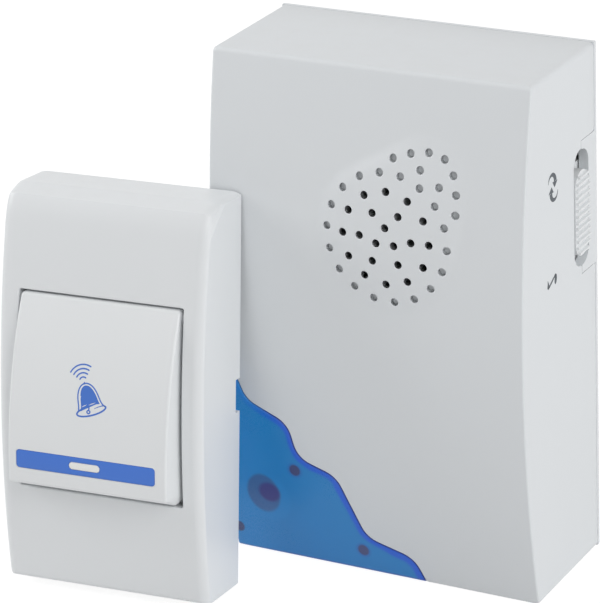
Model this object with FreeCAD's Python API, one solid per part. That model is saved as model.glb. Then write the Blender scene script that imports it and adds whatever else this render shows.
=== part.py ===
import FreeCAD, Part
import os
from math import asin, acos, cos, degrees, pi, radians, sin, sqrt, tan

# Wireless doorbell: a chime receiver with its push unit leaning on its front.
# Frame: origin at the centre of the receiver's base, +X right, +Y back, +Z up, millimetres.

V = FreeCAD.Vector
X_AXIS = V(1, 0, 0)
Y_AXIS = V(0, 1, 0)
Z_AXIS = V(0, 0, 1)
ORIGIN = V(0, 0, 0)

# How far a cutting shape runs past the surface it cuts, and a fused one into its neighbour
cut_margin = 1.0
# How close two places count as one
touching = 0.01

# Receiver case
chime_width = 60.0
chime_depth = 27.5
chime_height = 95.0
chime_bulge = 5.0
chime_wall = 1.8
chime_edge_bevel = 0.6
cover_thickness = 2.0
cover_edge_bevel = 1.2
cover_lip_depth = 3.0
cover_lip_wall = 1.2
seam_gap = 0.2

# Speaker dome and its holes, on the front
dome_x = 4.76
dome_z = 66.5
dome_radius = 13.4
dome_tip_radius = 8.0
dome_tip_distance = 12.4
dome_tip_angle = 55.0
dome_height = 1.15
dome_ball_radius = 110.0
dome_peak_distance = 3.5
dome_wall_slope = 28.0
hole_diameter = 1.4
blind_hole_depth = 1.1
# Rings of holes from the middle out, of which the inner ones go right through
hole_ring_radii = (1.95, 4.9, 8.2, 11.4)
hole_ring_counts = (3, 6, 12, 18)
hole_ring_angles = (90.0, 0.0, 0.0, 17.0)
through_ring_count = 3
# Holes in the tip: radius, and angle to either side of the dome's long axis
tip_hole_radii = (14.0, 14.0, 15.7, 17.3, 18.1)
tip_hole_angles = (31.0, 9.0, 19.5, 9.5, 0.0)
hole_side_count = 8

# Corner lens, the lower left corner of the front
lens_gap = 0.1
lens_rim = 0.9
lens_rim_depth = 3.6
lens_return = 7.0
lens_pin_radius = 0.9
lens_pin_length = 3.2
lens_pin_sink = 0.4
lens_socket_radius = 3.6
lens_socket_wall = 0.9
lens_socket_depth = 2.2
# Wavy edge from the bottom edge up to the left edge: corners in x and z, each rounded
lens_edge_round = 4.8
lens_edge = (
    (8.2, 0.0),
    (6.25, 4.65),
    (-2.7, 7.3),
    (-7.5, 19.0),
    (-14.9, 21.5),
    (-16.3, 28.1),
    (-24.2, 31.6),
    (-26.3, 37.0),
    (-30.0, 40.8),
)
lens_pins = ((-15.7, 18.8), (-3.7, 4.4), (-28.0, 4.5))

# Slide switch on the right side
slot_from_front = 19.8
slot_z = 67.0
slot_width = 6.0
slot_length = 21.2
tab_height = 24.2
tab_gap = 0.12
knob_width = 5.4
knob_length = 15.6
knob_stand_out = 0.6
knob_rest_gap = 1.9
knob_travel = 2.0
knob_flange_overlap = 0.9
knob_flange_thickness = 0.9
knob_flange_below = 2.2
knob_flange_above = 0.4
knob_gap = 0.3
rib_count = 13
rib_width = 0.62
rib_height = 0.55
rib_inset = 0.1
switch_body = (4.0, 4.4, 8.6)
lever_reach = 1.6
lever_width = 2.0
lever_sink = 1.3
lever_gap = 0.3
switch_board_thickness = 1.2
switch_board_front = 7.4
switch_board_back = 5.2
switch_board_height = 18.0
switch_peg_radius = 1.4

# Battery bay, its door and two AA cells standing side by side
cell_diameter = 14.5
cell_length = 49.2
cell_nub_diameter = 5.4
cell_nub_length = 1.3
cell_spacing = 15.2
cell_gap = 0.3
contact_thickness = 0.4
contact_width = 9.0
bridge_width = 4.0
spring_length = 4.2
spring_radius = 3.4
spring_wire = 0.7
spring_turns = 3
spring_steps = 8
spring_sides = 4
bay_wall = 1.5
bay_bottom = 5.4
door_thickness = 1.6
door_gap = 0.25
door_overlap = 0.9
door_pin_radius = 0.5
door_pin_clearance = 0.05
door_pin_length = 1.1
door_pin_end_gap = 0.1
grip_count = 4
grip_pitch = 1.6
grip_from_top = 4.0
grip_length = 9.0
grip_radius = 0.7
grip_depth = 0.35
finger_notch_width = 11.0
finger_notch_height = 3.2
finger_notch_depth = 1.1

# Wall fixing and case screws of the receiver
keyhole_from_top = 15.5
keyhole_head_diameter = 7.6
keyhole_slot_width = 4.4
keyhole_slot_rise = 6.5
screw_from_side = 7.5
screw_from_top = 7.0
screw_shank_diameter = 2.4
screw_head_diameter = 4.8
screw_head_height = 1.0
screw_head_sink = 0.2
screw_length = 8.0
screw_tip_gap = 0.5
screw_boss_radius = 3.2
screw_hole_gap = 0.15

# Loudspeaker
speaker_radius = 14.3
speaker_wall_gap = 0.7
speaker_clip_wall = 1.3
speaker_clip_width = 2.4
speaker_clip_count = 4
speaker_clip_angle = 45.0
speaker_cup_radius = 12.3
speaker_cup_depth = 3.2
speaker_sheet = 0.5
speaker_pot_radius = 7.0
speaker_pot_height = 4.2
speaker_pot_wall = 0.8
speaker_side_count = 40
magnet_radius = 4.6
magnet_height = 1.8
pole_plate_height = 1.0
diaphragm_film = 0.2
diaphragm_cap_radius = 5.6
diaphragm_cap_rise = 0.9

# Receiver circuit board and what stands on it
board_thickness = 1.2
chime_board_y = -8.0
melody_chip_x = 12.0
melody_chip_z = 20.0
melody_chip_radius = 4.5
melody_chip_height = 1.2
chime_board_width = 51.0
chime_board_bottom = 4.0
chime_board_top = 49.0
chime_post_radius = 1.8
led_x = -21.8
led_z = 13.2
led_radius = 1.5
led_flange_radius = 1.9
led_flange_height = 1.0
led_tip_gap = 0.8
capacitor_radius = 2.5
capacitor_height = 5.2
capacitor_places = ((-14.0, 30.0), (-6.0, 30.0))
module_x = 3.0
module_from_top = 11.0
module_size = (18.0, 4.6, 1.0)
tuning_coil_x = 12.0
tuning_coil_radius = 1.6
tuning_coil_length = 3.4
antenna_x = -19.0
antenna_radius = 0.45
antenna_length = 34.0
antenna_overlap = 1.5

# Push unit case, in its own frame: x right, y back with its back at 0, z up from its foot
push_width = 39.0
push_height = 71.4
push_depth = 12.8
push_bulge = 3.5
push_edge_bevel = 1.4
push_wall = 1.6
push_plate_thickness = 1.6
push_plate_gap = 0.2
push_lip_gap = 0.3
push_plate_lip_wall = 1.1
notch_z = 35.1
notch_length = 6.0
notch_depth = 1.7
wall_hole_diameter = 3.4
wall_hole_lower_z = 21.0
wall_hole_spacing = 40.0

# How the push unit leans on the receiver
push_x = -41.7
push_turn = 5.3
push_lean = 7.8
push_rest_gap = 0.35

# Rocker button and its well
well_width = 31.4
well_bottom = 18.2
well_top = 53.9
well_wall = 1.4
rocker_gap = 0.6
rocker_top_gap = 0.4
rocker_face_radius = 70.0
rocker_crest_z = 26.0
rocker_crest_y = -20.95
rocker_back_y = -12.2
rocker_foot_z = 20.4
rocker_heel_gap = 0.5
rocker_wall = 1.4
rocker_edge_bevel = 0.45
hinge_y = -13.5
hinge_z = 52.0
hinge_pin_radius = 0.9
hinge_pin_clearance = 0.06
hinge_pin_length = 1.4
strip_width = 26.4
strip_height = 3.5
strip_centre_z = 25.25
strip_thickness = 0.5
strip_gap = 0.05
strip_corner = 0.6
window_width = 6.8
window_height = 1.6
window_depth = 2.2

# Push unit circuit board, tact switch, cell and electronics
push_board_front = -5.0
push_board_width = 33.6
push_board_bottom = 16.0
push_board_top = 66.5
push_led_size = (3.0, 1.2, 1.8)
tact_size = 6.0
tact_height = 3.5
tact_arm = 14.0
plunger_radius = 1.75
plunger_stand_out = 1.2
plunger_bore_depth = 1.4
plunger_travel_room = 0.8
plunger_gap = 0.15
rocker_post_radius = 1.6
rocker_post_gap = 0.25
push_cell_diameter = 10.3
push_cell_length = 27.3
push_cell_nub_diameter = 4.0
push_cell_nub_length = 1.2
push_cell_y = -7.4
push_cell_z = 9.7
push_spring_length = 3.4
push_spring_radius = 2.6
push_contact_size = 6.8
push_contact_tail = 0.8
push_contact_lap = 2.0
cradle_x = 9.0
cradle_width = 1.6
cradle_front_y = -13.0
cradle_back_y = -2.0
chip_x = 2.0
chip_z = 58.5
chip_size = (9.0, 1.6, 4.0)
resonator_x = -8.0
resonator_z = 60.0
resonator_radius = 4.0
resonator_height = 3.2

# Worked out from the sizes above
half_width = chime_width / 2
front_y = -chime_depth / 2
back_y = chime_depth / 2
keyhole_z = chime_height - keyhole_from_top
screw_x = half_width - screw_from_side
screw_z = chime_height - screw_from_top
seam_y = back_y - cover_thickness
slot_y = front_y + slot_from_front
tab_bottom = slot_z - tab_height / 2
knob_bottom = slot_z - slot_length / 2 + knob_rest_gap
knob_centre_z = knob_bottom + knob_length / 2
door_inner_y = back_y - door_thickness
cell_y = door_inner_y - cell_gap - cell_diameter / 2
bay_width = cell_spacing + cell_diameter + 2 * cell_gap
bay_floor_y = cell_y - cell_diameter / 2 - cell_gap
cell_bottom = bay_bottom + contact_thickness + spring_length
cell_top = cell_bottom + cell_length + cell_nub_length
bay_top = cell_top + spring_length - cell_nub_length + contact_thickness
door_width = bay_width + 2 * door_overlap
door_bottom = bay_bottom - door_overlap
door_top = bay_top + door_overlap
door_pivot_y = back_y - door_thickness / 2
door_pivot_z = door_bottom + door_thickness / 2
tact_z = hinge_z - tact_arm
module_z = chime_board_top - module_from_top
board_back_y = chime_board_y + board_thickness


def bow_radius(height, bow):
    return (height * height / 4 + bow * bow) / (2 * bow)


def chime_front_y(z):
    # Y of the receiver's bowed front at a height
    radius = bow_radius(chime_height, chime_bulge)
    offset = z - chime_height / 2
    return front_y - chime_bulge + radius - sqrt(radius * radius - offset * offset)


def push_front_y(z):
    # Y of the push unit's bowed front at a height, in its own frame
    radius = bow_radius(push_height, push_bulge)
    offset = z - push_height / 2
    return -push_depth - push_bulge + radius - sqrt(radius * radius - offset * offset)


def box(x0, x1, y0, y1, z0, z1):
    return Part.makeBox(x1 - x0, y1 - y0, z1 - z0, V(x0, y0, z0))


def rod(x, y, z, radius, length, direction):
    return Part.makeCylinder(radius, length, V(x, y, z), direction)


def tube(x, y, z, outer, inner, length, direction):
    return rod(x, y, z, outer, length, direction).cut(rod(x, y, z, inner, length, direction))


def prism(edges, direction):
    return Part.Face(Part.Wire(edges)).extrude(direction)


def line(a, b):
    return Part.LineSegment(a, b).toShape()


def arc(a, b, c):
    return Part.Arc(a, b, c).toShape()


def polygon_prism(points, direction):
    return Part.Face(Part.makePolygon(list(points) + [points[0]])).extrude(direction)


def turned(profile, x, z, y=0.0):
    # Solid turned about an axis along Y, from a profile of radius and y pairs
    points = [V(x + radius, y + depth, z) for radius, depth in profile]
    face = Part.Face(Part.makePolygon(points + [points[0]]))
    return face.revolve(V(x, 0, z), Y_AXIS, 360)


def flat_sided(sections, x, z, y, sides):
    # Solid through regular polygons set across an axis along Y, from radius and y pairs
    rings = []
    for radius, depth in sections:
        ring = [V(x + radius * cos(2 * pi * i / sides), y + depth, z + radius * sin(2 * pi * i / sides))
                for i in range(sides)]
        rings.append(Part.makePolygon(ring + [ring[0]]))
    return Part.makeLoft(rings, True, True)


def obround(centre_x, centre_z, width, height, y0, y1):
    # Upright or lying slot with round ends, cut along Y
    radius = min(width, height) / 2
    reach = max(width, height) / 2 - radius
    along = X_AXIS if width > height else Z_AXIS
    middle = V(centre_x, y0, centre_z)
    ends = [Part.makeCylinder(radius, y1 - y0, middle + along * side, Y_AXIS) for side in (-reach, reach)]
    half_x = reach if width > height else radius
    half_z = radius if width > height else reach
    core = box(centre_x - half_x, centre_x + half_x, y0, y1, centre_z - half_z, centre_z + half_z)
    return core.fuse(ends).removeSplitter()


def bowed_block(width, z0, z1, front, bow, back, inset=0.0):
    # Block whose front is bowed out along its height
    x0 = -width / 2 + inset
    low = z0 + inset
    high = z1 - inset
    middle = (z0 + z1) / 2
    top_front = V(x0, front + inset, high)
    foot_front = V(x0, front + inset, low)
    edges = [
        line(V(x0, back, low), foot_front),
        arc(foot_front, V(x0, front - bow + inset, middle), top_front),
        line(top_front, V(x0, back, high)),
        line(V(x0, back, high), V(x0, back, low)),
    ]
    return prism(edges, X_AXIS * (width - 2 * inset))


def edges_where(shape, test):
    return [edge for edge in shape.Edges if test(edge.BoundBox)]


def helix_spring(x, y, z, radius, length, wire, turns, direction):
    # Open coil: a ruled loft through small polygons set along a helix
    sections = []
    steps = turns * spring_steps
    path_radius = radius - wire / 2
    rise = (length - wire) / steps
    for step in range(steps + 1):
        angle = 2 * pi * step / spring_steps
        outward = V(cos(angle), sin(angle), 0)
        centre = outward * path_radius + Z_AXIS * (wire / 2 + rise * step)
        corners = []
        for corner in range(spring_sides):
            turn = 2 * pi * corner / spring_sides
            corners.append(centre + outward * (wire / 2 * cos(turn)) + Z_AXIS * (wire / 2 * sin(turn)))
        sections.append(Part.makePolygon(corners + [corners[0]]))
    coil = Part.makeLoft(sections, True, True)
    coil.Placement = FreeCAD.Placement(V(x, y, z), FreeCAD.Rotation(Z_AXIS, direction))
    return coil


# Receiver front shell

def on_circle(x, z, radius, angle, y):
    return V(x + radius * cos(angle), y, z + radius * sin(angle))


def dome_tip():
    heading = radians(dome_tip_angle)
    return dome_x + dome_tip_distance * cos(heading), dome_z + dome_tip_distance * sin(heading)


def dome_peak():
    # Where the swelling is highest, on the egg's long axis
    heading = radians(dome_tip_angle)
    return dome_x + dome_peak_distance * cos(heading), dome_z + dome_peak_distance * sin(heading)


def closed_solid(loops):
    return Part.Solid(Part.Shell([Part.Face(Part.makePolygon(loop + [loop[0]])) for loop in loops]))


def egg_frustum(face_y, reach):
    # Hull of a large and a small circle with sloping walls, from inside the wall to in front of it
    spread = acos((dome_radius - dome_tip_radius) / dome_tip_distance)
    heading = radians(dome_tip_angle)
    tip_x, tip_z = dome_tip()
    circles = (
        (dome_x, dome_z, dome_radius, (spread, -spread)),
        (tip_x, tip_z, dome_tip_radius, (-spread, spread)),
    )
    run = reach / tan(radians(dome_wall_slope))
    loops = []
    for y, grow in ((face_y + reach, run), (face_y - reach, -run)):
        loops.append([
            on_circle(x, z, radius + grow, heading + turn, y)
            for x, z, radius, turns in circles
            for turn in turns
        ])
    inner, outer = loops
    sides = [[inner[i], inner[(i + 1) % 4], outer[(i + 1) % 4], outer[i]] for i in range(4)]
    core = closed_solid([inner, outer] + sides)
    cones = []
    for x, z, radius, _ in circles:
        start = V(x, face_y + reach, z)
        cones.append(Part.makeCone(radius + run, radius - run, 2 * reach, start, V(0, -1, 0)))
    return core.fuse(cones)


def speaker_dome():
    # Ball-shaped swelling inside the egg outline, square to the bowed front where it stands
    peak_x, peak_z = dome_peak()
    face_y = chime_front_y(peak_z)
    slope = asin((peak_z - chime_height / 2) / bow_radius(chime_height, chime_bulge))
    foot = V(peak_x, face_y, peak_z)
    egg = egg_frustum(face_y, chime_wall)
    egg.rotate(foot, X_AXIS, -degrees(slope))
    inward = V(0, cos(slope), -sin(slope))
    ball = Part.makeSphere(dome_ball_radius, foot + inward * (dome_ball_radius - dome_height))
    return egg.common(ball)


def hole_places():
    # Centres of the speaker holes, and whether each goes right through
    rings = zip(hole_ring_radii, hole_ring_counts, hole_ring_angles)
    for ring, (radius, count, first) in enumerate(rings):
        for index in range(count):
            place = on_circle(dome_x, dome_z, radius, radians(first + index * 360.0 / count), 0)
            yield place.x, place.z, ring < through_ring_count
    for radius, spread in zip(tip_hole_radii, tip_hole_angles):
        for side in ((-1, 1) if spread else (0,)):
            place = on_circle(dome_x, dome_z, radius, radians(dome_tip_angle + side * spread), 0)
            yield place.x, place.z, False


def dome_surface_y(x, z):
    # Y of the swelling at a hole
    peak_x, peak_z = dome_peak()
    slope = asin((peak_z - chime_height / 2) / bow_radius(chime_height, chime_bulge))
    depth = dome_ball_radius - dome_height
    centre_y = chime_front_y(peak_z) + depth * cos(slope)
    across = x - peak_x
    up = z - peak_z + depth * sin(slope)
    ball_y = centre_y - sqrt(dome_ball_radius ** 2 - across ** 2 - up ** 2)
    return min(ball_y, chime_front_y(z))


def speaker_holes():
    # Small drafted cores with few sides, set square to the case's front
    radius = hole_diameter / 2
    tools = []
    for x, z, through in hole_places():
        start = dome_surface_y(x, z) - cut_margin
        depth = 2 * chime_wall + dome_height if through else blind_hole_depth
        turns = [2 * pi * index / hole_side_count for index in range(hole_side_count)]
        corners = [on_circle(x, z, radius, turn, start) for turn in turns]
        tools.append(polygon_prism(corners, V(0, depth + cut_margin, 0)))
    return tools


def rounded_run(points, radius):
    # Straight runs through the points, joined by tangent arcs
    edges = []
    start = points[0]
    for before, corner, after in zip(points, points[1:], points[2:]):
        into = (corner - before).normalize()
        out = (after - corner).normalize()
        half_turn = into.getAngle(out) / 2
        reach = radius * tan(half_turn)
        first = corner - into * reach
        last = corner + out * reach
        inward = (out - into).normalize()
        middle = corner + inward * (radius / cos(half_turn) - radius)
        edges.append(line(start, first))
        edges.append(arc(first, middle, last))
        start = last
    edges.append(line(start, points[-1]))
    return edges


def lens_blank(shift, y0, y1):
    # Everything inside the wavy edge, down to the lower left corner
    points = [V(x + shift, y0, z + shift) for x, z in lens_edge]
    low_x = -half_width - cut_margin
    points[0].z = -cut_margin
    edges = rounded_run(points, lens_edge_round)
    corners = [points[-1], V(low_x, y0, points[-1].z), V(low_x, y0, -cut_margin), points[0]]
    edges += [line(a, b) for a, b in zip(corners, corners[1:])]
    return prism(edges, V(0, y1 - y0, 0))


def chime_outer():
    # Outside of the receiver case up to the seam, with its fine edge bevels
    block = bowed_block(chime_width, 0, chime_height, front_y, chime_bulge, seam_y)
    bevelled = edges_where(block, lambda b: b.YMin < seam_y - touching)
    return block.makeChamfer(chime_edge_bevel, bevelled)


def front_solid():
    # What lies in front of the middle of the bowed front wall
    reach = chime_bulge + 2 * cut_margin
    low = bowed_block(2 * chime_width, 0, chime_height, front_y, chime_bulge, back_y, 0)
    low.translate(V(0, chime_wall / 2, 0))
    slab = box(-chime_width, chime_width, front_y - reach, back_y, 0, chime_height)
    return slab.cut(low)


def chime_inner(back):
    return bowed_block(chime_width, 0, chime_height, front_y, chime_bulge, back, chime_wall)


def switch_slot(x0, x1):
    # Slot with round ends for the knob, its long way upright
    radius = slot_width / 2
    reach = slot_length / 2 - radius
    core = box(x0, x1, slot_y - radius, slot_y + radius, slot_z - reach, slot_z + reach)
    ends = [rod(x0, slot_y, slot_z + side, radius, x1 - x0, X_AXIS) for side in (-reach, reach)]
    return core.fuse(ends).removeSplitter()


def tab_space(gap):
    # Room for the rear cover's tab in the right wall
    x0 = half_width - chime_wall - cut_margin
    z0 = tab_bottom - gap
    z1 = tab_bottom + tab_height + gap
    return box(x0, half_width + cut_margin, slot_y - gap, seam_y + cut_margin, z0, z1)


def wall_middle_y(z):
    # Y inside the thickness of the bowed front wall, where inner ribs and posts start
    return chime_front_y(z) + chime_wall / 2


def speaker_clips():
    # Stepped ribs round the speaker: its flange lies on the low step, inside the high one
    seat_y = speaker_front_y()
    start_y = wall_middle_y(chime_height / 2)
    inner = speaker_radius + seam_gap
    outer = inner + speaker_clip_wall
    back = seat_y + speaker_sheet
    outline = (
        (speaker_cup_radius, start_y),
        (speaker_cup_radius, seat_y),
        (inner, seat_y),
        (inner, back),
        (outer, back),
        (outer, start_y),
    )
    half = speaker_clip_width / 2
    clips = []
    for index in range(speaker_clip_count):
        clip = polygon_prism([V(x, y, -half) for x, y in outline], V(0, 0, speaker_clip_width))
        clip.rotate(ORIGIN, Y_AXIS, speaker_clip_angle + index * 360.0 / speaker_clip_count)
        clip.translate(V(dome_x, 0, dome_z))
        clips.append(clip)
    return clips


def chime_posts():
    # Posts that carry the circuit board, the screw bosses and the switch board pegs
    post_x = chime_board_width / 2 - chime_post_radius
    top_z = chime_board_top - chime_post_radius
    places = ((-post_x, top_z), (post_x, top_z), (post_x, chime_board_bottom + chime_post_radius))
    posts = []
    for x, z in places:
        start_y = wall_middle_y(z)
        posts.append(rod(x, start_y, z, chime_post_radius, chime_board_y - start_y, Y_AXIS))
    pilot_start = back_y - screw_head_height - screw_head_sink - screw_length - screw_tip_gap
    for side in (-1, 1):
        start_y = wall_middle_y(screw_z)
        boss = rod(side * screw_x, start_y, screw_z, screw_boss_radius, seam_y - start_y, Y_AXIS)
        pilot_length = seam_y - pilot_start
        pilot = rod(side * screw_x, pilot_start, screw_z, screw_shank_diameter / 2, pilot_length, Y_AXIS)
        posts.append(boss.cut(pilot))
    peg_length = half_width - chime_wall / 2 - switch_board_face()
    for side in (-1, 1):
        z = knob_centre_z + side * (switch_board_height / 2 - switch_peg_radius)
        y = slot_y - switch_board_front + switch_peg_radius
        posts.append(rod(switch_board_face(), y, z, switch_peg_radius, peg_length, X_AXIS))
    return posts


def chime_front_shell():
    outer = chime_outer()
    cavity = chime_inner(seam_y + cut_margin)
    shell = outer.fuse(speaker_dome()).cut(cavity)
    clips = [clip.cut(front_solid()) for clip in speaker_clips()]
    shell = shell.fuse(clips + chime_posts())
    lens_back = front_y + lens_return + lens_gap
    cuts = [lens_blank(lens_gap, front_y - chime_bulge - cut_margin, lens_back)]
    cuts.append(tab_space(tab_gap))
    cuts.append(switch_slot(half_width - chime_wall - cut_margin / 2, half_width + cut_margin))
    cuts.extend(speaker_holes())
    return shell.cut(cuts)


def corner_lens():
    # Front skin, returns along the left side and the bottom, and the rim behind the wavy edge
    start_y = front_y - chime_bulge - cut_margin
    skin_region = lens_blank(-lens_gap / 2, start_y, front_y + lens_return)
    walls = chime_outer().cut(chime_inner(seam_y + cut_margin))
    skin = walls.common(skin_region)
    rim_end = front_y + lens_rim_depth
    rim_outer = lens_blank(-lens_gap / 2, start_y, rim_end)
    rim_inner = lens_blank(-lens_gap / 2 - lens_rim, start_y, rim_end)
    rim = rim_outer.cut(rim_inner).common(chime_outer())
    extras = [rim]
    for x, z in lens_pins:
        length = chime_wall + lens_pin_length
        pin = rod(x, chime_front_y(z) + lens_pin_sink, z, lens_pin_radius, length, Y_AXIS)
        extras.append(pin.common(chime_outer()))
    skin_y = chime_front_y(led_z) + chime_wall
    outer = lens_socket_radius
    socket = tube(led_x, skin_y - cut_margin, led_z, outer, outer - lens_socket_wall,
                  lens_socket_depth + cut_margin, Y_AXIS)
    extras.append(socket)
    return skin.fuse(extras).removeSplitter()


# Rear cover, battery bay and door

def cover_plate():
    plate = box(-half_width, half_width, seam_y, back_y, 0, chime_height)
    upright = edges_where(plate, lambda b: b.ZLength > touching and b.YMin > back_y - touching)
    top = edges_where(plate, lambda b: b.XLength > touching and b.ZMin > chime_height - touching)
    across = [edge for edge in top if edge.BoundBox.YMin > back_y - touching]
    return plate.makeChamfer(cover_edge_bevel, upright + across)


def cover_lip():
    # Rim that fits inside the front shell, open beside the switch
    inset = chime_wall + seam_gap
    y0 = seam_y - cover_lip_depth
    half = half_width - inset
    outer = box(-half, half, y0, seam_y, inset, chime_height - inset)
    wall = cover_lip_wall
    inner = box(-half + wall, half - wall, y0, seam_y, inset + wall, chime_height - inset - wall)
    gap = box(half - wall - cut_margin, half + cut_margin, y0, seam_y,
              tab_bottom - cut_margin, tab_bottom + tab_height + cut_margin)
    lip = outer.cut(inner).cut(gap)
    for side in (-1, 1):
        lip = lip.cut(rod(side * screw_x, y0, screw_z, screw_boss_radius + seam_gap, cover_lip_depth, Y_AXIS))
    return lip


def cover_tab():
    x0 = half_width - chime_wall
    tab = box(x0, half_width, slot_y, seam_y, tab_bottom, tab_bottom + tab_height)
    return tab


def bay_box(grow, y0, y1):
    half = bay_width / 2 + grow
    return box(-half, half, y0, y1, bay_bottom - grow, bay_top + grow)


def door_opening(y0, y1):
    half = door_width / 2 + door_gap
    return box(-half, half, y0, y1, door_bottom - door_gap, door_top + door_gap)


def keyhole():
    y0 = seam_y - cut_margin
    y1 = back_y + cut_margin
    head = rod(0, y0, keyhole_z, keyhole_head_diameter / 2, y1 - y0, Y_AXIS)
    width = keyhole_slot_width
    slot = obround(0, keyhole_z + keyhole_slot_rise / 2, width, keyhole_slot_rise + width, y0, y1)
    return head.fuse(slot)


def screw_recess(side):
    x = side * screw_x
    length = cover_thickness + cut_margin
    start_y = seam_y - cut_margin / 2
    hole = rod(x, start_y, screw_z, screw_shank_diameter / 2 + screw_hole_gap, length, Y_AXIS)
    recess_y = back_y - screw_head_height - screw_head_sink
    head = rod(x, recess_y, screw_z, screw_head_diameter / 2 + screw_hole_gap, length, Y_AXIS)
    return hole.fuse(head)


def finger_notch():
    # Shallow scoop over the door's upper edge
    radius = (finger_notch_width ** 2 / 4 + finger_notch_height ** 2) / (2 * finger_notch_height)
    centre_z = door_top + door_gap + finger_notch_height - radius
    floor_y = back_y - finger_notch_depth
    end_y = back_y + cut_margin
    scoop = rod(0, floor_y, centre_z, radius, end_y - floor_y, Y_AXIS)
    half = finger_notch_width / 2
    window_top = door_top + finger_notch_height + cut_margin
    window = box(-half, half, floor_y - cut_margin, end_y + cut_margin, door_top, window_top)
    return scoop.common(window)


def chime_rear_cover():
    ledge_y = door_inner_y - cell_gap
    tray = bay_box(bay_wall, bay_floor_y - bay_wall, ledge_y)
    plate = cover_plate().fuse([cover_lip(), cover_tab(), tray]).removeSplitter()
    plate = plate.cut(bay_box(0, bay_floor_y, back_y + cut_margin))
    plate = plate.cut(door_opening(ledge_y, back_y + cut_margin))
    plate = plate.cut(switch_slot(half_width - chime_wall - cut_margin / 2, half_width + cut_margin))
    cuts = [keyhole(), finger_notch(), screw_recess(-1), screw_recess(1)]
    reach = door_width / 2 + door_gap + door_pin_length
    pin_hole = door_pin_radius + door_pin_clearance
    cuts.append(rod(-reach, door_pivot_y, door_pivot_z, pin_hole, 2 * reach, X_AXIS))
    return plate.cut(cuts)


def battery_door():
    # Panel with a full round lower edge that turns on two stub pins
    half = door_width / 2
    radius = door_thickness / 2
    panel = box(-half, half, door_inner_y, back_y, door_pivot_z, door_top)
    barrel = rod(-half, door_pivot_y, door_pivot_z, radius, door_width, X_AXIS)
    reach = half + door_gap + door_pin_length - door_pin_end_gap
    pins = rod(-reach, door_pivot_y, door_pivot_z, door_pin_radius, 2 * reach, X_AXIS)
    door = panel.fuse([barrel, pins]).removeSplitter()
    grooves = []
    for row in range(grip_count):
        z = door_top - grip_from_top - grip_pitch * row
        y = back_y + grip_radius - grip_depth
        grooves.append(rod(-grip_length / 2, y, z, grip_radius, grip_length, X_AXIS))
    return door.cut(grooves)


# Cells and contacts of the receiver

def aa_cell(x, upright):
    # Cell with its nub up, or turned over
    body = rod(x, cell_y, cell_bottom, cell_diameter / 2, cell_length, Z_AXIS)
    nub = rod(x, cell_y, cell_bottom + cell_length, cell_nub_diameter / 2, cell_nub_length, Z_AXIS)
    cell = body.fuse(nub)
    if not upright:
        cell.rotate(V(x, cell_y, (bay_bottom + bay_top) / 2), Y_AXIS, 180)
    return cell


def aa_cells():
    half = cell_spacing / 2
    return Part.makeCompound([aa_cell(-half, True), aa_cell(half, False)])


def contact_plate(x, z):
    half = contact_width / 2
    return box(x - half, x + half, cell_y - half, cell_y + half, z, z + contact_thickness)


def bridge_contact():
    # Plate across both cells at the bottom of the bay
    left = contact_plate(-cell_spacing / 2, bay_bottom)
    right = contact_plate(cell_spacing / 2, bay_bottom)
    half = cell_spacing / 2
    strap_half = bridge_width / 2
    top = bay_bottom + contact_thickness
    strap = box(-half, half, cell_y - strap_half, cell_y + strap_half, bay_bottom, top)
    return left.fuse([right, strap]).removeSplitter()


def terminal_contacts():
    z = bay_top - contact_thickness
    return Part.makeCompound([contact_plate(side * cell_spacing / 2, z) for side in (-1, 1)])


def battery_springs():
    half = cell_spacing / 2
    low_z = bay_bottom + contact_thickness
    high_z = bay_top - contact_thickness
    springs = [
        helix_spring(-half, cell_y, low_z, spring_radius, spring_length, spring_wire, spring_turns, Z_AXIS),
        helix_spring(half, cell_y, high_z, spring_radius, spring_length, spring_wire, spring_turns, -Z_AXIS),
    ]
    return Part.makeCompound(springs)


def case_screws():
    screws = []
    head_y = back_y - screw_head_height - screw_head_sink
    for side in (-1, 1):
        x = side * screw_x
        shank = rod(x, head_y - screw_length, screw_z, screw_shank_diameter / 2, screw_length, Y_AXIS)
        head = rod(x, head_y, screw_z, screw_head_diameter / 2, screw_head_height, Y_AXIS)
        screws.append(shank.fuse(head))
    return Part.makeCompound(screws)


# Slide switch

def switch_board_face():
    # X of the switch board's outer face
    knob_inner = half_width - chime_wall - knob_gap - knob_flange_thickness
    return knob_inner - lever_reach - switch_body[0]


def slide_switch_body():
    # Metal can with a slot for its lever, soldered to its small board
    depth, width, length = switch_body
    x0 = switch_board_face()
    body = box(x0, x0 + depth, slot_y - width / 2, slot_y + width / 2,
               knob_centre_z - length / 2, knob_centre_z + length / 2)
    half = lever_width / 2 + lever_gap
    channel = box(x0 + depth - lever_sink - lever_gap, x0 + depth + cut_margin, slot_y - half, slot_y + half,
                  knob_centre_z - half, knob_centre_z + half + knob_travel)
    return body.cut(channel)


def switch_lever():
    # Stub that the knob carries along
    x0 = switch_board_face() + switch_body[0] - lever_sink
    x1 = half_width - chime_wall - knob_gap - knob_flange_thickness
    half = lever_width / 2
    return box(x0, x1, slot_y - half, slot_y + half, knob_centre_z - half, knob_centre_z + half)


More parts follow.
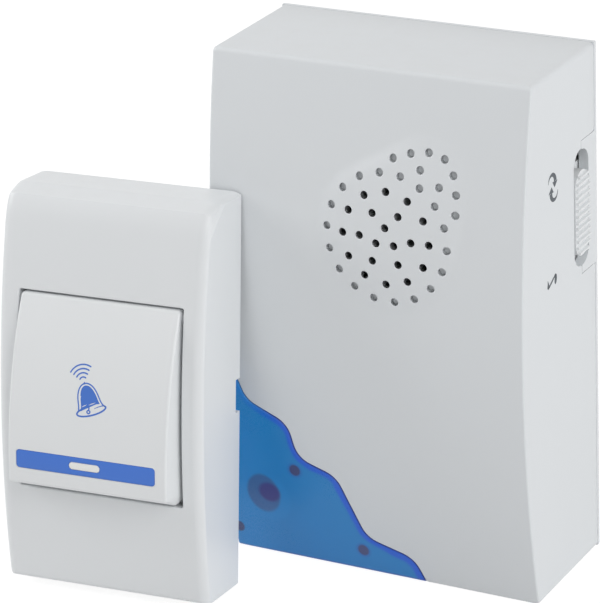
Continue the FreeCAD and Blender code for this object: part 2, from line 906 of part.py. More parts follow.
def slider_knob():
    # Flange behind the wall, neck in the slot and ribs for the finger
    x0 = half_width - chime_wall - knob_gap - knob_flange_thickness
    flange_half = slot_width / 2 + knob_flange_overlap
    flange = box(x0, x0 + knob_flange_thickness, slot_y - flange_half, slot_y + flange_half,
                 knob_bottom - knob_flange_below, knob_bottom + knob_length + knob_flange_above)
    crown = half_width + knob_stand_out - rib_height
    radius = knob_width / 2
    reach = knob_length / 2 - radius
    neck = box(x0, crown, slot_y - radius, slot_y + radius, knob_centre_z - reach, knob_centre_z + reach)
    ends = [rod(x0, slot_y, knob_centre_z + side, radius, crown - x0, X_AXIS) for side in (-reach, reach)]
    ribs = []
    pitch = (knob_length - rib_width) / rib_count
    for index in range(rib_count):
        z = knob_bottom + pitch * (index + 0.5) + rib_width / 2
        offset = max(abs(z - knob_centre_z) - reach, 0)
        half = sqrt(radius * radius - offset * offset) - rib_inset
        points = (
            V(crown - rib_inset, slot_y - half, z - rib_width / 2),
            V(crown - rib_inset, slot_y - half, z + rib_width / 2),
            V(crown + rib_height, slot_y - half, z + rib_width / 4),
            V(crown + rib_height, slot_y - half, z - rib_width / 4),
        )
        ribs.append(polygon_prism(points, V(0, 2 * half, 0)))
    return flange.fuse([neck] + ends + ribs).removeSplitter()


def switch_board():
    x1 = switch_board_face()
    low = knob_centre_z - switch_board_height / 2
    return box(x1 - switch_board_thickness, x1, slot_y - switch_board_front, slot_y + switch_board_back,
               low, low + switch_board_height)


# Loudspeaker, turned about its own axis

def speaker_front_y():
    # Y of the front of the speaker's flange, just clear of the bowed wall above it
    return chime_front_y(dome_z + speaker_radius) + chime_wall + speaker_wall_gap


def speaker_pot_front_y():
    return speaker_front_y() + speaker_cup_depth - speaker_sheet


def magnet_back_y():
    return speaker_pot_front_y() + speaker_pot_height - speaker_pot_wall


def speaker_disc(radius, y0, y1):
    # Upright disc on the speaker's axis, between two depths behind its front
    ends = ((radius, y0), (radius, y1))
    return flat_sided(ends, dome_x, dome_z, speaker_front_y(), speaker_side_count)


def speaker_frame():
    # Pressed steel cup with a flange, open in the middle for the pot
    sheet = speaker_sheet
    depth = speaker_cup_depth
    flange = speaker_disc(speaker_radius, 0, sheet)
    cup = speaker_disc(speaker_cup_radius, 0, depth)
    hollow = speaker_disc(speaker_cup_radius - sheet, -cut_margin, depth - sheet)
    opening = speaker_disc(speaker_pot_radius, 0, depth + cut_margin)
    return flange.fuse(cup).removeSplitter().cut([hollow, opening])


def speaker_yoke():
    # Steel pot round the magnet
    front = speaker_pot_front_y() - speaker_front_y()
    back = front + speaker_pot_height
    wall = speaker_pot_wall
    outer = speaker_disc(speaker_pot_radius, front, back)
    return outer.cut(speaker_disc(speaker_pot_radius - wall, front - cut_margin, back - wall))


def speaker_magnet():
    back = magnet_back_y() - speaker_front_y()
    return speaker_disc(magnet_radius, back - magnet_height, back)


def speaker_pole_plate():
    back = magnet_back_y() - speaker_front_y() - magnet_height
    return speaker_disc(magnet_radius, back - pole_plate_height, back)


def speaker_diaphragm():
    # Flat film glued by its rim to the front of the cup, with a raised cap in the middle
    film = diaphragm_film
    rise = diaphragm_cap_rise
    disc = speaker_disc(speaker_cup_radius, -film, 0)
    caps = []
    for back in (-film, 0):
        sections = ((diaphragm_cap_radius, back), (diaphragm_cap_radius - rise, back - rise))
        caps.append(flat_sided(sections, dome_x, dome_z, speaker_front_y(), speaker_side_count))
    return disc.fuse(caps[0]).cut(caps[1])


# Receiver electronics

def chime_circuit_board():
    half = chime_board_width / 2
    board = box(-half, half, chime_board_y, board_back_y, chime_board_bottom, chime_board_top)
    return board


def melody_chip():
    # Round drop of black resin on the back of the board
    return rod(melody_chip_x, board_back_y, melody_chip_z, melody_chip_radius, melody_chip_height, Y_AXIS)


def chime_capacitors():
    y = chime_board_y - capacitor_height
    cans = [rod(x, y, z, capacitor_radius, capacitor_height, Y_AXIS) for x, z in capacitor_places]
    return Part.makeCompound(cans)


def receiver_module():
    # Small radio board standing on the main board
    width, depth, thickness = module_size
    y = chime_board_y
    return box(module_x, module_x + width, y - depth, y, module_z, module_z + thickness)


def tuning_coil():
    y = chime_board_y - module_size[1] / 2
    return rod(tuning_coil_x, y, module_z + module_size[2], tuning_coil_radius, tuning_coil_length, Z_AXIS)


def antenna_wire():
    # Stands up from the board's upper edge, its lower end soldered to the back
    y = board_back_y + antenna_radius
    return rod(antenna_x, y, chime_board_top - antenna_overlap, antenna_radius, antenna_length, Z_AXIS)


def chime_led():
    # Round LED that points to the front, its tip just short of the lens
    length = chime_board_y - chime_front_y(led_z) - chime_wall - led_tip_gap
    profile = (
        (0, 0),
        (led_flange_radius, 0),
        (led_flange_radius, -led_flange_height),
        (led_radius, -led_flange_height),
        (led_radius, -length),
        (0, -length),
    )
    return turned(profile, led_x, led_z, chime_board_y)


# Push unit, modelled in its own frame

def push_outer():
    # Case with a bowed front and bevelled front edges
    block = bowed_block(push_width, 0, push_height, -push_depth, push_bulge, 0)
    front_loop = edges_where(block, lambda b: b.YMax < touching - push_depth)
    return block.makeChamfer(push_edge_bevel, front_loop)


def push_inner():
    width = push_width
    return bowed_block(width, 0, push_height, -push_depth, push_bulge, cut_margin, push_wall)


def well(x_grow, y0, y1, z_grow):
    half = well_width / 2 + x_grow
    return box(-half, half, y0, y1, well_bottom - z_grow, well_top + z_grow)


def push_front_shell():
    outer = push_outer()
    shell = outer.cut(push_inner())
    front = -push_depth - push_bulge - cut_margin
    collar = well(well_wall, front, push_board_front, well_wall).common(outer)
    ribs = []
    for x in (-cradle_x, cradle_x):
        rib = box(x - cradle_width / 2, x + cradle_width / 2, cradle_front_y, cradle_back_y, 0, push_cell_z)
        ribs.append(rib.common(outer).cut(cell_barrel(cell_gap)))
    shell = shell.fuse([collar] + ribs)
    shell = shell.cut(well(0, front, push_board_front + cut_margin, 0))
    reach = well_width / 2 + well_wall
    start = -reach - cut_margin
    socket = rod(start, hinge_y, hinge_z, hinge_pin_radius + hinge_pin_clearance, -2 * start, X_AXIS)
    half = push_width / 2
    notch = box(half - push_wall - cut_margin, half + cut_margin, -notch_depth, cut_margin,
                notch_z - notch_length / 2, notch_z + notch_length / 2)
    return shell.cut([socket, notch])


def push_back_plate():
    inset = push_wall + push_plate_gap
    half = push_width / 2 - inset
    plate = box(-half, half, -push_plate_thickness, 0, inset, push_height - inset)
    lip_y = push_board_front + board_thickness + push_lip_gap
    wall = push_plate_lip_wall
    outer = box(-half, half, lip_y, -push_plate_thickness, inset, push_height - inset)
    inner = box(-half + wall, half - wall, lip_y, -push_plate_thickness,
                inset + wall, push_height - inset - wall)
    lip = outer.cut(inner)
    for x in (-cradle_x, cradle_x):
        half_slot = cradle_width / 2 + push_plate_gap
        slot_top = inset + wall + cut_margin
        lip = lip.cut(box(x - half_slot, x + half_slot, lip_y, -push_plate_thickness, 0, slot_top))
    plate = plate.fuse(lip)
    holes = []
    start = -push_plate_thickness - cut_margin
    for z in (wall_hole_lower_z, wall_hole_lower_z + wall_hole_spacing):
        holes.append(rod(0, start, z, wall_hole_diameter / 2, cut_margin - start, Y_AXIS))
    return plate.cut(holes)


def rocker_face_y(z, inset=0.0):
    radius = rocker_face_radius - inset
    offset = z - rocker_crest_z
    return rocker_crest_y + rocker_face_radius - sqrt(radius * radius - offset * offset)


def rocker_block(inset, x_half, back):
    # Side outline of the rocker, drawn in by a wall
    top = well_top - rocker_top_gap - inset
    foot = rocker_foot_z + inset
    heel = well_bottom + rocker_heel_gap + inset
    middle = (top + foot) / 2
    top_front = V(-x_half, rocker_face_y(top, inset), top)
    foot_front = V(-x_half, rocker_face_y(foot, inset), foot)
    edges = [
        line(V(-x_half, back, top), top_front),
        arc(top_front, V(-x_half, rocker_face_y(middle, inset), middle), foot_front),
        line(foot_front, V(-x_half, back, heel)),
        line(V(-x_half, back, heel), V(-x_half, back, top)),
    ]
    return prism(edges, V(2 * x_half, 0, 0))


def strip_band(grow, thickness):
    # Band of the rocker's face, as wide and high as the indicator strip
    half = strip_width / 2 + grow
    low = strip_centre_z - strip_height / 2 - grow
    high = strip_centre_z + strip_height / 2 + grow
    back = rocker_crest_y + thickness + 2 * cut_margin
    window = box(-half, half, rocker_crest_y - cut_margin, back, low, high)
    corners = edges_where(window, lambda b: b.YLength > cut_margin)
    window = window.makeFillet(strip_corner + grow, corners)
    x_half = half + cut_margin
    core = rocker_block(thickness, x_half + cut_margin, rocker_back_y + cut_margin)
    skin = rocker_block(0, x_half, rocker_back_y).cut(core)
    return skin.common(window)


def window_plug(grow):
    # Light window, a slot with round ends right through the rocker's face
    y1 = rocker_crest_y + window_depth
    width = window_width + 2 * grow
    height = window_height + 2 * grow
    return obround(0, strip_centre_z, width, height, rocker_crest_y - cut_margin, y1)


def push_rocker():
    half = well_width / 2 - rocker_gap
    outer = rocker_block(0, half, rocker_back_y)
    rim_y = rocker_face_y(well_top - rocker_top_gap) + touching
    face_edges = edges_where(outer, lambda b: b.YMax < rim_y)
    outer = outer.makeChamfer(rocker_edge_bevel, face_edges)
    shell = outer.cut(rocker_block(rocker_wall, half - rocker_wall, rocker_back_y + cut_margin))
    post_end = push_board_front - tact_height - plunger_stand_out - rocker_post_gap
    post_start = rocker_face_y(tact_z) + rocker_wall / 2
    post = rod(0, post_start, tact_z, rocker_post_radius, post_end - post_start, Y_AXIS)
    reach = half + rocker_gap + hinge_pin_length
    pins = []
    for side in (-1, 1):
        start = side * (half - rocker_wall)
        length = reach - abs(start)
        pins.append(rod(start, hinge_y, hinge_z, hinge_pin_radius, length, X_AXIS * side))
    rocker = shell.fuse([post] + pins)
    return rocker.cut([strip_band(strip_gap, strip_thickness), window_plug(strip_gap)])


def indicator_strip():
    return strip_band(0, strip_thickness).cut(window_plug(strip_gap))


def indicator_window():
    face = rocker_block(0, window_width, rocker_back_y)
    return window_plug(0).common(face)


def push_circuit_board():
    half = push_board_width / 2
    back = push_board_front + board_thickness
    return box(-half, half, push_board_front, back, push_board_bottom, push_board_top)


def tact_switch_body():
    half = tact_size / 2
    front = push_board_front - tact_height
    body = box(-half, half, front, push_board_front, tact_z - half, tact_z + half)
    length = plunger_bore_depth + cut_margin
    bore = rod(0, front - cut_margin, tact_z, plunger_radius + plunger_gap, length, Y_AXIS)
    return body.cut(bore)


def tact_switch_plunger():
    front = push_board_front - tact_height
    inside = plunger_bore_depth - plunger_travel_room
    return rod(0, front - plunger_stand_out, tact_z, plunger_radius, plunger_stand_out + inside, Y_AXIS)


def push_led():
    # Flat LED on the board, behind the light window
    width, depth, height = push_led_size
    y = push_board_front
    return box(-width / 2, width / 2, y - depth, y, strip_centre_z - height / 2, strip_centre_z + height / 2)


def cell_barrel(grow):
    # Space of the lying cell, grown by a gap
    radius = push_cell_diameter / 2 + grow
    return rod(-push_width / 2, push_cell_y, push_cell_z, radius, push_width, X_AXIS)


def push_contact_left():
    # X of the left contact, just inside the back plate's lip
    return -push_width / 2 + push_wall + 2 * push_plate_gap + push_plate_lip_wall


def push_cell_left():
    # X of the cell's flat end, which its spring presses
    return push_contact_left() + contact_thickness + push_spring_length


def push_cell():
    x = push_cell_left()
    body = rod(x, push_cell_y, push_cell_z, push_cell_diameter / 2, push_cell_length, X_AXIS)
    nub = rod(x + push_cell_length, push_cell_y, push_cell_z, push_cell_nub_diameter / 2,
              push_cell_nub_length, X_AXIS)
    return body.fuse(nub)


def push_cell_contacts():
    # Two sheet contacts whose tails are soldered to the board's back
    right = push_cell_left() + push_cell_length + push_cell_nub_length
    tail_y = push_board_front + board_thickness
    half = push_contact_size / 2
    plates = []
    for x in (push_contact_left(), right):
        x1 = x + contact_thickness
        plate = box(x, x1, push_cell_y - half, push_cell_y + half, push_cell_z - half, push_cell_z + half)
        tail_end = tail_y + push_contact_tail
        tail = box(x, x1, tail_y, tail_end, push_cell_z, push_board_bottom + push_contact_lap)
        bridge = box(x, x1, push_cell_y, tail_end, push_cell_z, push_cell_z + half)
        plates.append(plate.fuse([bridge, tail]).removeSplitter())
    return Part.makeCompound(plates)


def push_cell_spring():
    x = push_contact_left() + contact_thickness
    return helix_spring(x, push_cell_y, push_cell_z, push_spring_radius, push_spring_length,
                        spring_wire, spring_turns, X_AXIS)


def encoder_chip():
    width, depth, height = chip_size
    y = push_board_front
    return box(chip_x, chip_x + width, y - depth, y, chip_z, chip_z + height)


def resonator_can():
    y = push_board_front - resonator_height
    return rod(resonator_x, y, resonator_z, resonator_radius, resonator_height, Y_AXIS)


def lean_place(shape):
    # Stands the push unit on its back lower edge, leaning on the receiver's front
    turn = radians(push_turn)
    lean = radians(push_lean)
    rise = push_height * cos(lean)
    corner_y = push_width / 2 * sin(turn) + push_height * sin(lean) * cos(turn)
    foot_y = chime_front_y(rise) - push_rest_gap - corner_y
    shape = shape.copy()
    shape.rotate(ORIGIN, X_AXIS, -push_lean)
    shape.rotate(ORIGIN, Z_AXIS, push_turn)
    shape.translate(V(push_x, foot_y, 0))
    return shape


RECEIVER = (
    chime_front_shell, corner_lens, chime_rear_cover, battery_door, aa_cells, bridge_contact,
    terminal_contacts, battery_springs, case_screws, slide_switch_body, slider_knob, switch_board,
    switch_lever,
    speaker_frame, speaker_yoke, speaker_magnet, speaker_pole_plate, speaker_diaphragm,
    chime_circuit_board, melody_chip, chime_capacitors,
    receiver_module, tuning_coil, antenna_wire, chime_led,
)
PUSH_UNIT = (
    push_front_shell, push_back_plate, push_rocker, indicator_strip, indicator_window,
    push_circuit_board, tact_switch_body, tact_switch_plunger, push_led, push_cell,
    push_cell_contacts, push_cell_spring, encoder_chip, resonator_can,
)


def main():
    os.makedirs("parts", exist_ok=True)
    shapes = {make.__name__: make() for make in RECEIVER}
    for make in PUSH_UNIT:
        shapes[make.__name__] = lean_place(make())
    for node, shape in shapes.items():
        shape.exportStep("parts/" + node + ".step")


main()
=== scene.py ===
from math import atan2, cos, hypot, pi, radians, sin, sqrt, tan

import bpy
import numpy as np
from mathutils import Matrix
from mathutils.geometry import delaunay_2d_cdt


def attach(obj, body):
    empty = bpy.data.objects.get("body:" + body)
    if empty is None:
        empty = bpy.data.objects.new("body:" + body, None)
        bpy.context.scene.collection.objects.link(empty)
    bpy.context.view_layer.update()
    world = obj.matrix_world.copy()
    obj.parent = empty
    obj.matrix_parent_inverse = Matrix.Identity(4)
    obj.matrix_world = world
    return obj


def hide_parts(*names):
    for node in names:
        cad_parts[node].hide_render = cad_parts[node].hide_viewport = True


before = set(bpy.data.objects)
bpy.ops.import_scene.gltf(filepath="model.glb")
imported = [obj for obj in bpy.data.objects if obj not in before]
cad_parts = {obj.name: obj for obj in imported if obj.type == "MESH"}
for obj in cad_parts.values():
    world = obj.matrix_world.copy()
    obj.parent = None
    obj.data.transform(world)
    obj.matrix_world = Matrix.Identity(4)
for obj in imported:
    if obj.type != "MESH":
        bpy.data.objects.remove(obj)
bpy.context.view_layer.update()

# Wireless doorbell: a chime receiver with a push unit leaning on its front.
# Sizes are in millimetres and angles in degrees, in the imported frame: x right, y back, z up.
# Meshes are written in metres.

MM = 0.001
WELD = 0.0001
crease_angle = 38.0

# Spacing of points in the nets of the faces, and how near a net's own points come to a given one, as a share
net_clear = 0.6
net_chunk = 500
net_tolerance = 1e-7
case_net = 1.0
lens_net = 1.4
wall_net = 2.0
push_net = 2.4
rocker_net = 1.6
recess_net = 1.2
strip_net = 0.9
window_net = 0.7
sign_net = 0.5

# Chime receiver case
case_width = 60.0
case_height = 95.0
case_front = -13.75
case_bow = 5.0
case_seam = 11.75
case_arc = (case_height, case_front, case_bow)
case_wall = 1.8
wall_start = 0.15
case_corners = (0.7, 0.95, 0.9, 0.5)
case_edges = (0.35, 0.75, 0.8, 0.5)
case_blend = 1.0
seam_relief = 0.18
seam_start = 0.06
half_width = case_width / 2

# Speaker dome, an egg outline with a ball-shaped swelling, and its holes
dome_middle = np.array((4.76, 66.5))
dome_radius = 13.4
dome_tip_radius = 8.0
dome_tip_distance = 12.4
dome_tip_angle = 55.0
dome_height = 1.15
dome_ball_radius = 110.0
dome_peak_distance = 3.5
dome_wall_slope = 24.0
dome_crown_blend = 0.5
dome_foot_blend = 0.35
hole_radius = 0.7
hole_rim = 0.16
hole_sides = 20
blind_hole_depth = 0.8
hole_ring_radii = (1.95, 4.9, 8.2, 11.4)
hole_ring_counts = (3, 6, 12, 18)
hole_ring_angles = (90.0, 0.0, 0.0, 17.0)
through_ring_count = 3
hole_rows = (0, 0.02, 0.06, 0.11, hole_rim, 0.3)
hole_clear = 0.45
dome_rows = (-3.2, 1.2, 12)
dome_base_steps = 80
dome_tip_steps = 30
dome_flank_steps = 12
tip_hole_radii = (14.0, 14.0, 15.7, 17.3, 18.1)
tip_hole_angles = (31.0, 9.0, 19.5, 9.5, 0.0)
dome_axis = np.array((cos(radians(dome_tip_angle)), sin(radians(dome_tip_angle))))

# Corner lens: wavy edge from the bottom up to the left side
lens_wave = np.array((
    (8.2, 0.0), (6.25, 4.65), (-2.7, 7.3), (-7.5, 19.0), (-14.9, 21.5), (-16.3, 28.1),
    (-24.2, 31.6), (-26.3, 37.0), (-30.0, 40.8),
))
lens_wave_round = 4.8
lens_wave_steps = 9
lens_wave_share = 0.48
lens_gap = 0.07
lens_edge = 0.45
lens_case_edge = 0.18
lens_end = -6.75
lens_back = -6.65

# Spots painted into the lens's colour for what stands behind it, the dark ones painted shade of its pins and
# lamp socket: middle, half width and half height, soft share of these, strength and colour
painted_lens_spots = (
    ((-27.5, 24.0), (5.5, 24.0), 0.9, 0.85, (0.03, 0.34, 0.80)),
    ((-21.9, 11.9), (4.5, 4.9), 0.12, 0.25, (0.02, 0.30, 0.72)),
    ((-22.7, 12.7), (3.3, 3.9), 0.12, 0.8, (0.05, 0.125, 0.33)),
    ((-21.5, 13.1), (2.1, 1.95), 0.25, 0.95, (0.052, 0.052, 0.25)),
    ((-15.7, 18.8), (1.45, 1.45), 0.25, 0.5, (0.03, 0.10, 0.45)),
    ((-15.7, 18.8), (1.05, 1.1), 0.2, 0.92, (0.055, 0.06, 0.17)),
    ((-3.7, 4.4), (1.45, 1.45), 0.25, 0.5, (0.03, 0.10, 0.45)),
    ((-3.7, 4.4), (1.05, 1.1), 0.2, 0.92, (0.055, 0.06, 0.17)),
    ((-28.9, 4.3), (1.05, 1.1), 0.2, 0.92, (0.055, 0.06, 0.17)),
)

# Slide switch on the right side
slot_y = 6.05
slot_z = 67.0
slot_width = 6.0
slot_length = 21.2
slot_edge = 0.3
tab_height = 24.2
tab_gap = 0.12
tab_clear = 0.3

# Push unit, in its own frame with its back at y 0 and its foot at z 0
push_width = 39.0
push_height = 71.4
push_depth = 12.8
push_bow = 3.5
push_arc = (push_height, -push_depth, push_bow)
push_wall = 1.6
push_side_band = 1.9
push_side_radius = 2.3
push_corners = (0.2, 1.2)
push_top_share = 0.55
push_head_round = 0.9
push_top_band = 2.9
push_top_slope = 24.0
push_top_blend = 1.0
push_brow_band = 1.585
push_brow_slope = 69.3
push_brow_blend = 0.12
push_brow_spread = 1.2
push_foot_band = 1.0
push_edge = 0.2
push_middle_row = -6.0
push_first_row = 2.2
push_last_row = 65.6
well_low = np.array((-15.7, 18.2))
well_high = np.array((15.7, 53.9))
well_corner = 0.45
well_panel = (well_low, well_high, well_corner)
well_rim = 0.3
well_wall = 1.4
well_back = -5.0
notch_low = 32.1
notch_high = 38.1
notch_depth = 1.7

# How the push unit leans on the receiver
push_x = -41.7
push_turn = 5.3
push_lean = 7.8
push_rest_gap = 0.35

# Rocker button
rocker_low = np.array((-15.25, 20.4))
rocker_high = np.array((15.1, 53.5))
rocker_heel = 18.7
rocker_back = -12.2
rocker_crest_y = -20.94
rocker_crest_z = 26.0
rocker_face_radius = 70.0
rocker_corners = (0.7, 0.7, 0.7, 0.5)
rocker_panel = (rocker_low, rocker_high, rocker_corners)
rocker_heel_share = 0.55
rocker_edge = 0.5
rocker_wall = 1.4
hinge_y = -13.5
hinge_z = 52.0
hinge_pin_radius = 0.9
hinge_pin_end = 17.1
hinge_pin_tip = 0.8
press_post_z = 38.0
press_post_radius = 1.6
press_post_end = -9.95
press_post_tip = 0.88
pin_chamfer = 0.2

# Indicator strip and its light window, let into the rocker
strip_low = np.array((-13.6, 23.4))
strip_high = np.array((12.93, 26.65))
strip_corner = 0.6
strip_gap = 0.05
strip_thickness = 0.5
strip_edge = 0.06
strip_sink = 0.01
window_middle = np.array((-0.5, 25.03))
window_width = 5.9
window_height = 1.32
window_depth = 1.9
window_edge = 0.12

# Printed signs: a bell with sound arcs, two circling arrows and a music note
print_height = 0.012
print_sink = 0.03
bell_middle = np.array((0.635, 35.25))
bell_tilt = 20.0
bell_height = 4.75
bell_mouth = (2.85, 0.8)
bell_line = 0.23
bell_waist = 2.1
bell_crown_power = 2.8
bell_flare = 0.78
bell_flare_power = 8
bell_body_gap = 0.36
bell_body_bulge = 0.14
rim_line = 0.29
rim_angles = (122, 366)
arc_middle = (-0.12, 5.15)
arc_radii = (0.74, 1.45, 2.15, 2.85)
arc_half_angles = (58.0, 51.0, 47.0, 46.0)
arc_line = 0.25
bell_foot = ((-1.95, 0.36), (-1.1, 0.52), (-0.22, 0.62), (0.5, 0.74), (1.2, 0.84))
bell_shines = (
    ((-1.62, 0.98), (-1.3, 1.06), (-0.95, 1.12), (-0.5, 1.19)),
    ((-0.26, 1.0), (0.25, 1.06), (0.75, 1.1), (1.22, 1.13)),
    ((-1.72, 1.9), (-1.58, 2.3), (-1.38, 2.65), (-1.16, 2.95)),
)
bell_shine_line = 0.15
bell_lip = np.array(((2.86, 0.1), (2.62, 0.26), (2.2, 0.32), (1.5, 0.31), (0.66, 0.2)))
bell_lip_end = 0.1
bell_side_end = 0.08
bell_hanger = np.array(((0.03, 5.02), (0.01, 4.9), (0, 4.75), (0, 4.6)))
bell_hanger_line = (0.1, 0.18, 0.34, 0.7)
clapper_middle = (-0.6, -0.1)
clapper_radius = 0.28
clapper_line = 0.24
clapper_stem = np.array(((-0.26, 0.66), (-0.36, 0.4), (-0.48, 0.14)))
arrows_middle = np.array((-5.75, 74.8))
note_middle = np.array((-6.55, 58.02))

# Camera fitted to the photograph, 600 by 603 pixels
camera_place = (250.35, -493.26, 275.49)
camera_turn = 28.95
camera_dip = -22.36
camera_roll = 2.48
camera_lens = 203.04
sensor_side = 36.0


# Shapes in the plane of a face

def bowed(z, height, chord, bow):
    """Depth of a face that is bowed out along its height: a circle through its foot, crest and head."""
    radius = (height * height / 4 + bow * bow) / (2 * bow)
    return chord - bow + radius - np.sqrt(radius * radius - (z - height / 2) ** 2)


def rolled(distance, radius):
    """How far a round edge falls away: a quarter circle near the edge, nothing further in."""
    reach = np.clip(radius - distance, 0, radius)
    return radius - np.sqrt(radius * radius - reach * reach)


def soft_low(a, b, blend):
    """The lower of two heights, with a parabola where they cross."""
    meet = np.maximum(blend - np.abs(a - b), 0) / blend
    return np.minimum(a, b) - meet * meet * blend / 4


def soft_high(a, b, blend):
    """The higher of two heights, with a parabola where they cross."""
    return -soft_low(-a, -b, blend)


def corner_values(points, low, high, values):
    """Value of a rectangle's nearest corner: one for all, or four anticlockwise from the lower right."""
    lower_right, upper_right, upper_left, lower_left = np.broadcast_to(values, 4)
    right, upper = (points > (low + high) / 2).T
    return np.where(right, np.where(upper, upper_right, lower_right), np.where(upper, upper_left, lower_left))


def panel_distance(points, low, high, corner):
    """Distance inward from the edge of a rectangle with round corners, below zero outside it."""
    corner = corner_values(points, low, high, corner)
    beyond = np.abs(points - (low + high) / 2) - (high - low) / 2 + corner[:, None]
    outside = np.linalg.norm(np.maximum(beyond, 0), axis=1)
    return corner - outside - np.minimum(beyond.max(axis=1), 0)


def side_values(points, low, high, reach, values):
    """Value of the nearest side, four anticlockwise from the right, blended by angle near the corners."""
    offset = points - (low + high) / 2
    beyond = np.maximum(np.abs(offset) - (high - low) / 2 + reach, 0) ** 2 + WELD ** 2
    right, top, left, bottom = values
    share = beyond[:, 0] / beyond.sum(axis=1)
    across = np.where(offset[:, 0] > 0, right, left)
    upright = np.where(offset[:, 1] > 0, top, bottom)
    return share * across + (1 - share) * upright


def nearest(points, others):
    """Distance from each point to the nearest of the others."""
    return np.linalg.norm(points[:, None] - others, axis=2).min(axis=1)


def path_distance(points, path):
    """Distance from each point to the nearest run of a path: foot of the perpendicular, held to the run."""
    start = path[:-1]
    run = path[1:] - start
    offset = points[:, None] - start
    share = np.clip((offset * run).sum(axis=2) / (run * run).sum(axis=1), 0, 1)
    return np.linalg.norm(offset - share[..., None] * run, axis=2).min(axis=1)


def loop_distance(points, loop):
    """Distance from each point to the nearest run of a closed loop."""
    return path_distance(points, np.vstack([loop, loop[:1]]))


def within(points, loop):
    """True inside a closed loop: a level ray from the point crosses it an odd number of times."""
    x, z = points.T
    x0, z0 = loop.T
    x1, z1 = np.roll(loop, -1, axis=0).T
    rise = np.where(z1 == z0, 1.0, z1 - z0)
    spans = (z0 > z[:, None]) != (z1 > z[:, None])
    crossing = x0 + (z[:, None] - z0) * (x1 - x0) / rise
    return (spans & (x[:, None] < crossing)).sum(axis=1) % 2 == 1


def between(outer, inner=None):
    """Test for places inside one loop and outside another."""
    if inner is None:
        return lambda points: within(points, outer)
    return lambda points: within(points, outer) & ~within(points, inner)


def paired(first, second):
    """Two rows of numbers, or a row and one number, as points of a plane."""
    return np.stack(np.broadcast_arrays(first, second), axis=1)


def rotation(degrees):
    """Matrix that turns points of a plane anticlockwise."""
    turn = radians(degrees)
    return np.array(((cos(turn), -sin(turn)), (sin(turn), cos(turn))))


def circle(middle, radius, count, first=0.0, last=2 * pi):
    """Points at even angles on a circle, the last angle left out."""
    angle = first + (last - first) * np.arange(count) / count
    return np.array(middle) + radius * paired(np.cos(angle), np.sin(angle))


def panel_loop(low, high, corner, step, stops=(), arc_steps=6):
    """Rectangle with round corners, anticlockwise: four quarter circles with even runs between them."""
    radii = np.broadcast_to(corner, 4)
    signs = np.array(((1, -1), (1, 1), (-1, 1), (-1, -1)))
    middles = np.where(signs > 0, high, low) - signs * radii[:, None]
    firsts = (-pi / 2, 0, pi / 2, pi)
    arcs = [circle(middle, radius, arc_steps, first, first + pi / 2)
            for middle, radius, first in zip(middles, radii, firsts)]
    ends = [circle(middle, radius, 1, first + pi / 2)[0]
            for middle, radius, first in zip(middles, radii, firsts)]
    parts = []
    for index, (arc, end) in enumerate(zip(arcs, ends)):
        target = arcs[(index + 1) % 4][0]
        run = target - end
        length = np.linalg.norm(run)
        shares = np.linspace(0, 1, max(int(np.ceil(length / step)), 1), endpoint=False)
        for stop in stops:
            share = (np.array(stop) - end) @ run / (length * length)
            if 0 < share < 1 and np.linalg.norm(end + share * run - stop) < WELD:
                shares = np.append(shares[np.abs(shares - share) * length > step / 4], share)
        parts += [arc, end + np.sort(shares)[:, None] * run]
    return np.vstack(parts)


def slot_loop(middle, width, height, sides):
    """Lying or upright slot with half-round ends, anticlockwise."""
    radius = min(width, height) / 2
    reach = np.array((max(width, height) / 2 - radius, 0.0))
    lying = width > height
    first = -pi / 2 if lying else 0.0
    reach = reach if lying else reach[::-1]
    near = circle(middle + reach, radius, sides, first, first + pi + pi / sides)
    far = circle(middle - reach, radius, sides, first + pi, first + 2 * pi + pi / sides)
    return np.vstack([near, far])


def rounded_path(corners, radius):
    """Straight runs through the corners, each corner rounded by an arc that touches both runs."""
    parts = [corners[:1]]
    for before, corner, after in zip(corners, corners[1:], corners[2:]):
        into = (corner - before) / np.linalg.norm(corner - before)
        out = (after - corner) / np.linalg.norm(after - corner)
        half_turn = np.arccos(np.clip(into @ out, -1, 1)) / 2
        limit = lens_wave_share * min(np.linalg.norm(corner - before), np.linalg.norm(after - corner))
        reach = min(radius * tan(half_turn), limit)
        share = np.linspace(0, 1, lens_wave_steps)[:, None]
        first, last = corner - into * reach, corner + out * reach
        parts.append((1 - share) ** 2 * first + 2 * share * (1 - share) * corner + share ** 2 * last)
    parts.append(corners[-1:])
    return np.vstack(parts)


def unit(vectors):
    """Each vector with its length made 1."""
    return vectors / np.linalg.norm(vectors, axis=1)[:, None]


def panel_outward(points, low, high, corner):
    """Direction straight out from the edge of a rectangle with round corners, for points on the edge."""
    offset = points - (low + high) / 2
    corner = corner_values(points, low, high, corner)
    return unit(np.maximum(np.abs(offset) - (high - low) / 2 + corner[:, None], 0) * np.sign(offset))


def panel_rows(loop, low, high, corner, distances):
    """The edge of a panel moved in by each distance, or out where it is below zero, point for point."""
    outward = panel_outward(loop, low, high, corner)
    columns = [np.broadcast_to(d, len(loop))[:, None] for d in distances]
    return [np.clip(loop - outward * d, low + d, high - d) for d in columns]


def drawn_in(loop, distances):
    """Anticlockwise loop moved inward by each distance, square to the line through the neighbours."""
    ahead = unit(np.roll(loop, -1, axis=0) - np.roll(loop, 1, axis=0))
    inward = paired(-ahead[:, 1], ahead[:, 0])
    return [loop + inward * d for d in distances]


def beside(path, distance):
    """Path moved sideways, to the left of its heading."""
    heading = unit(np.gradient(path, axis=0))
    return path + distance * paired(-heading[:, 1], heading[:, 0])


# Skins: points and triangles that face outwards

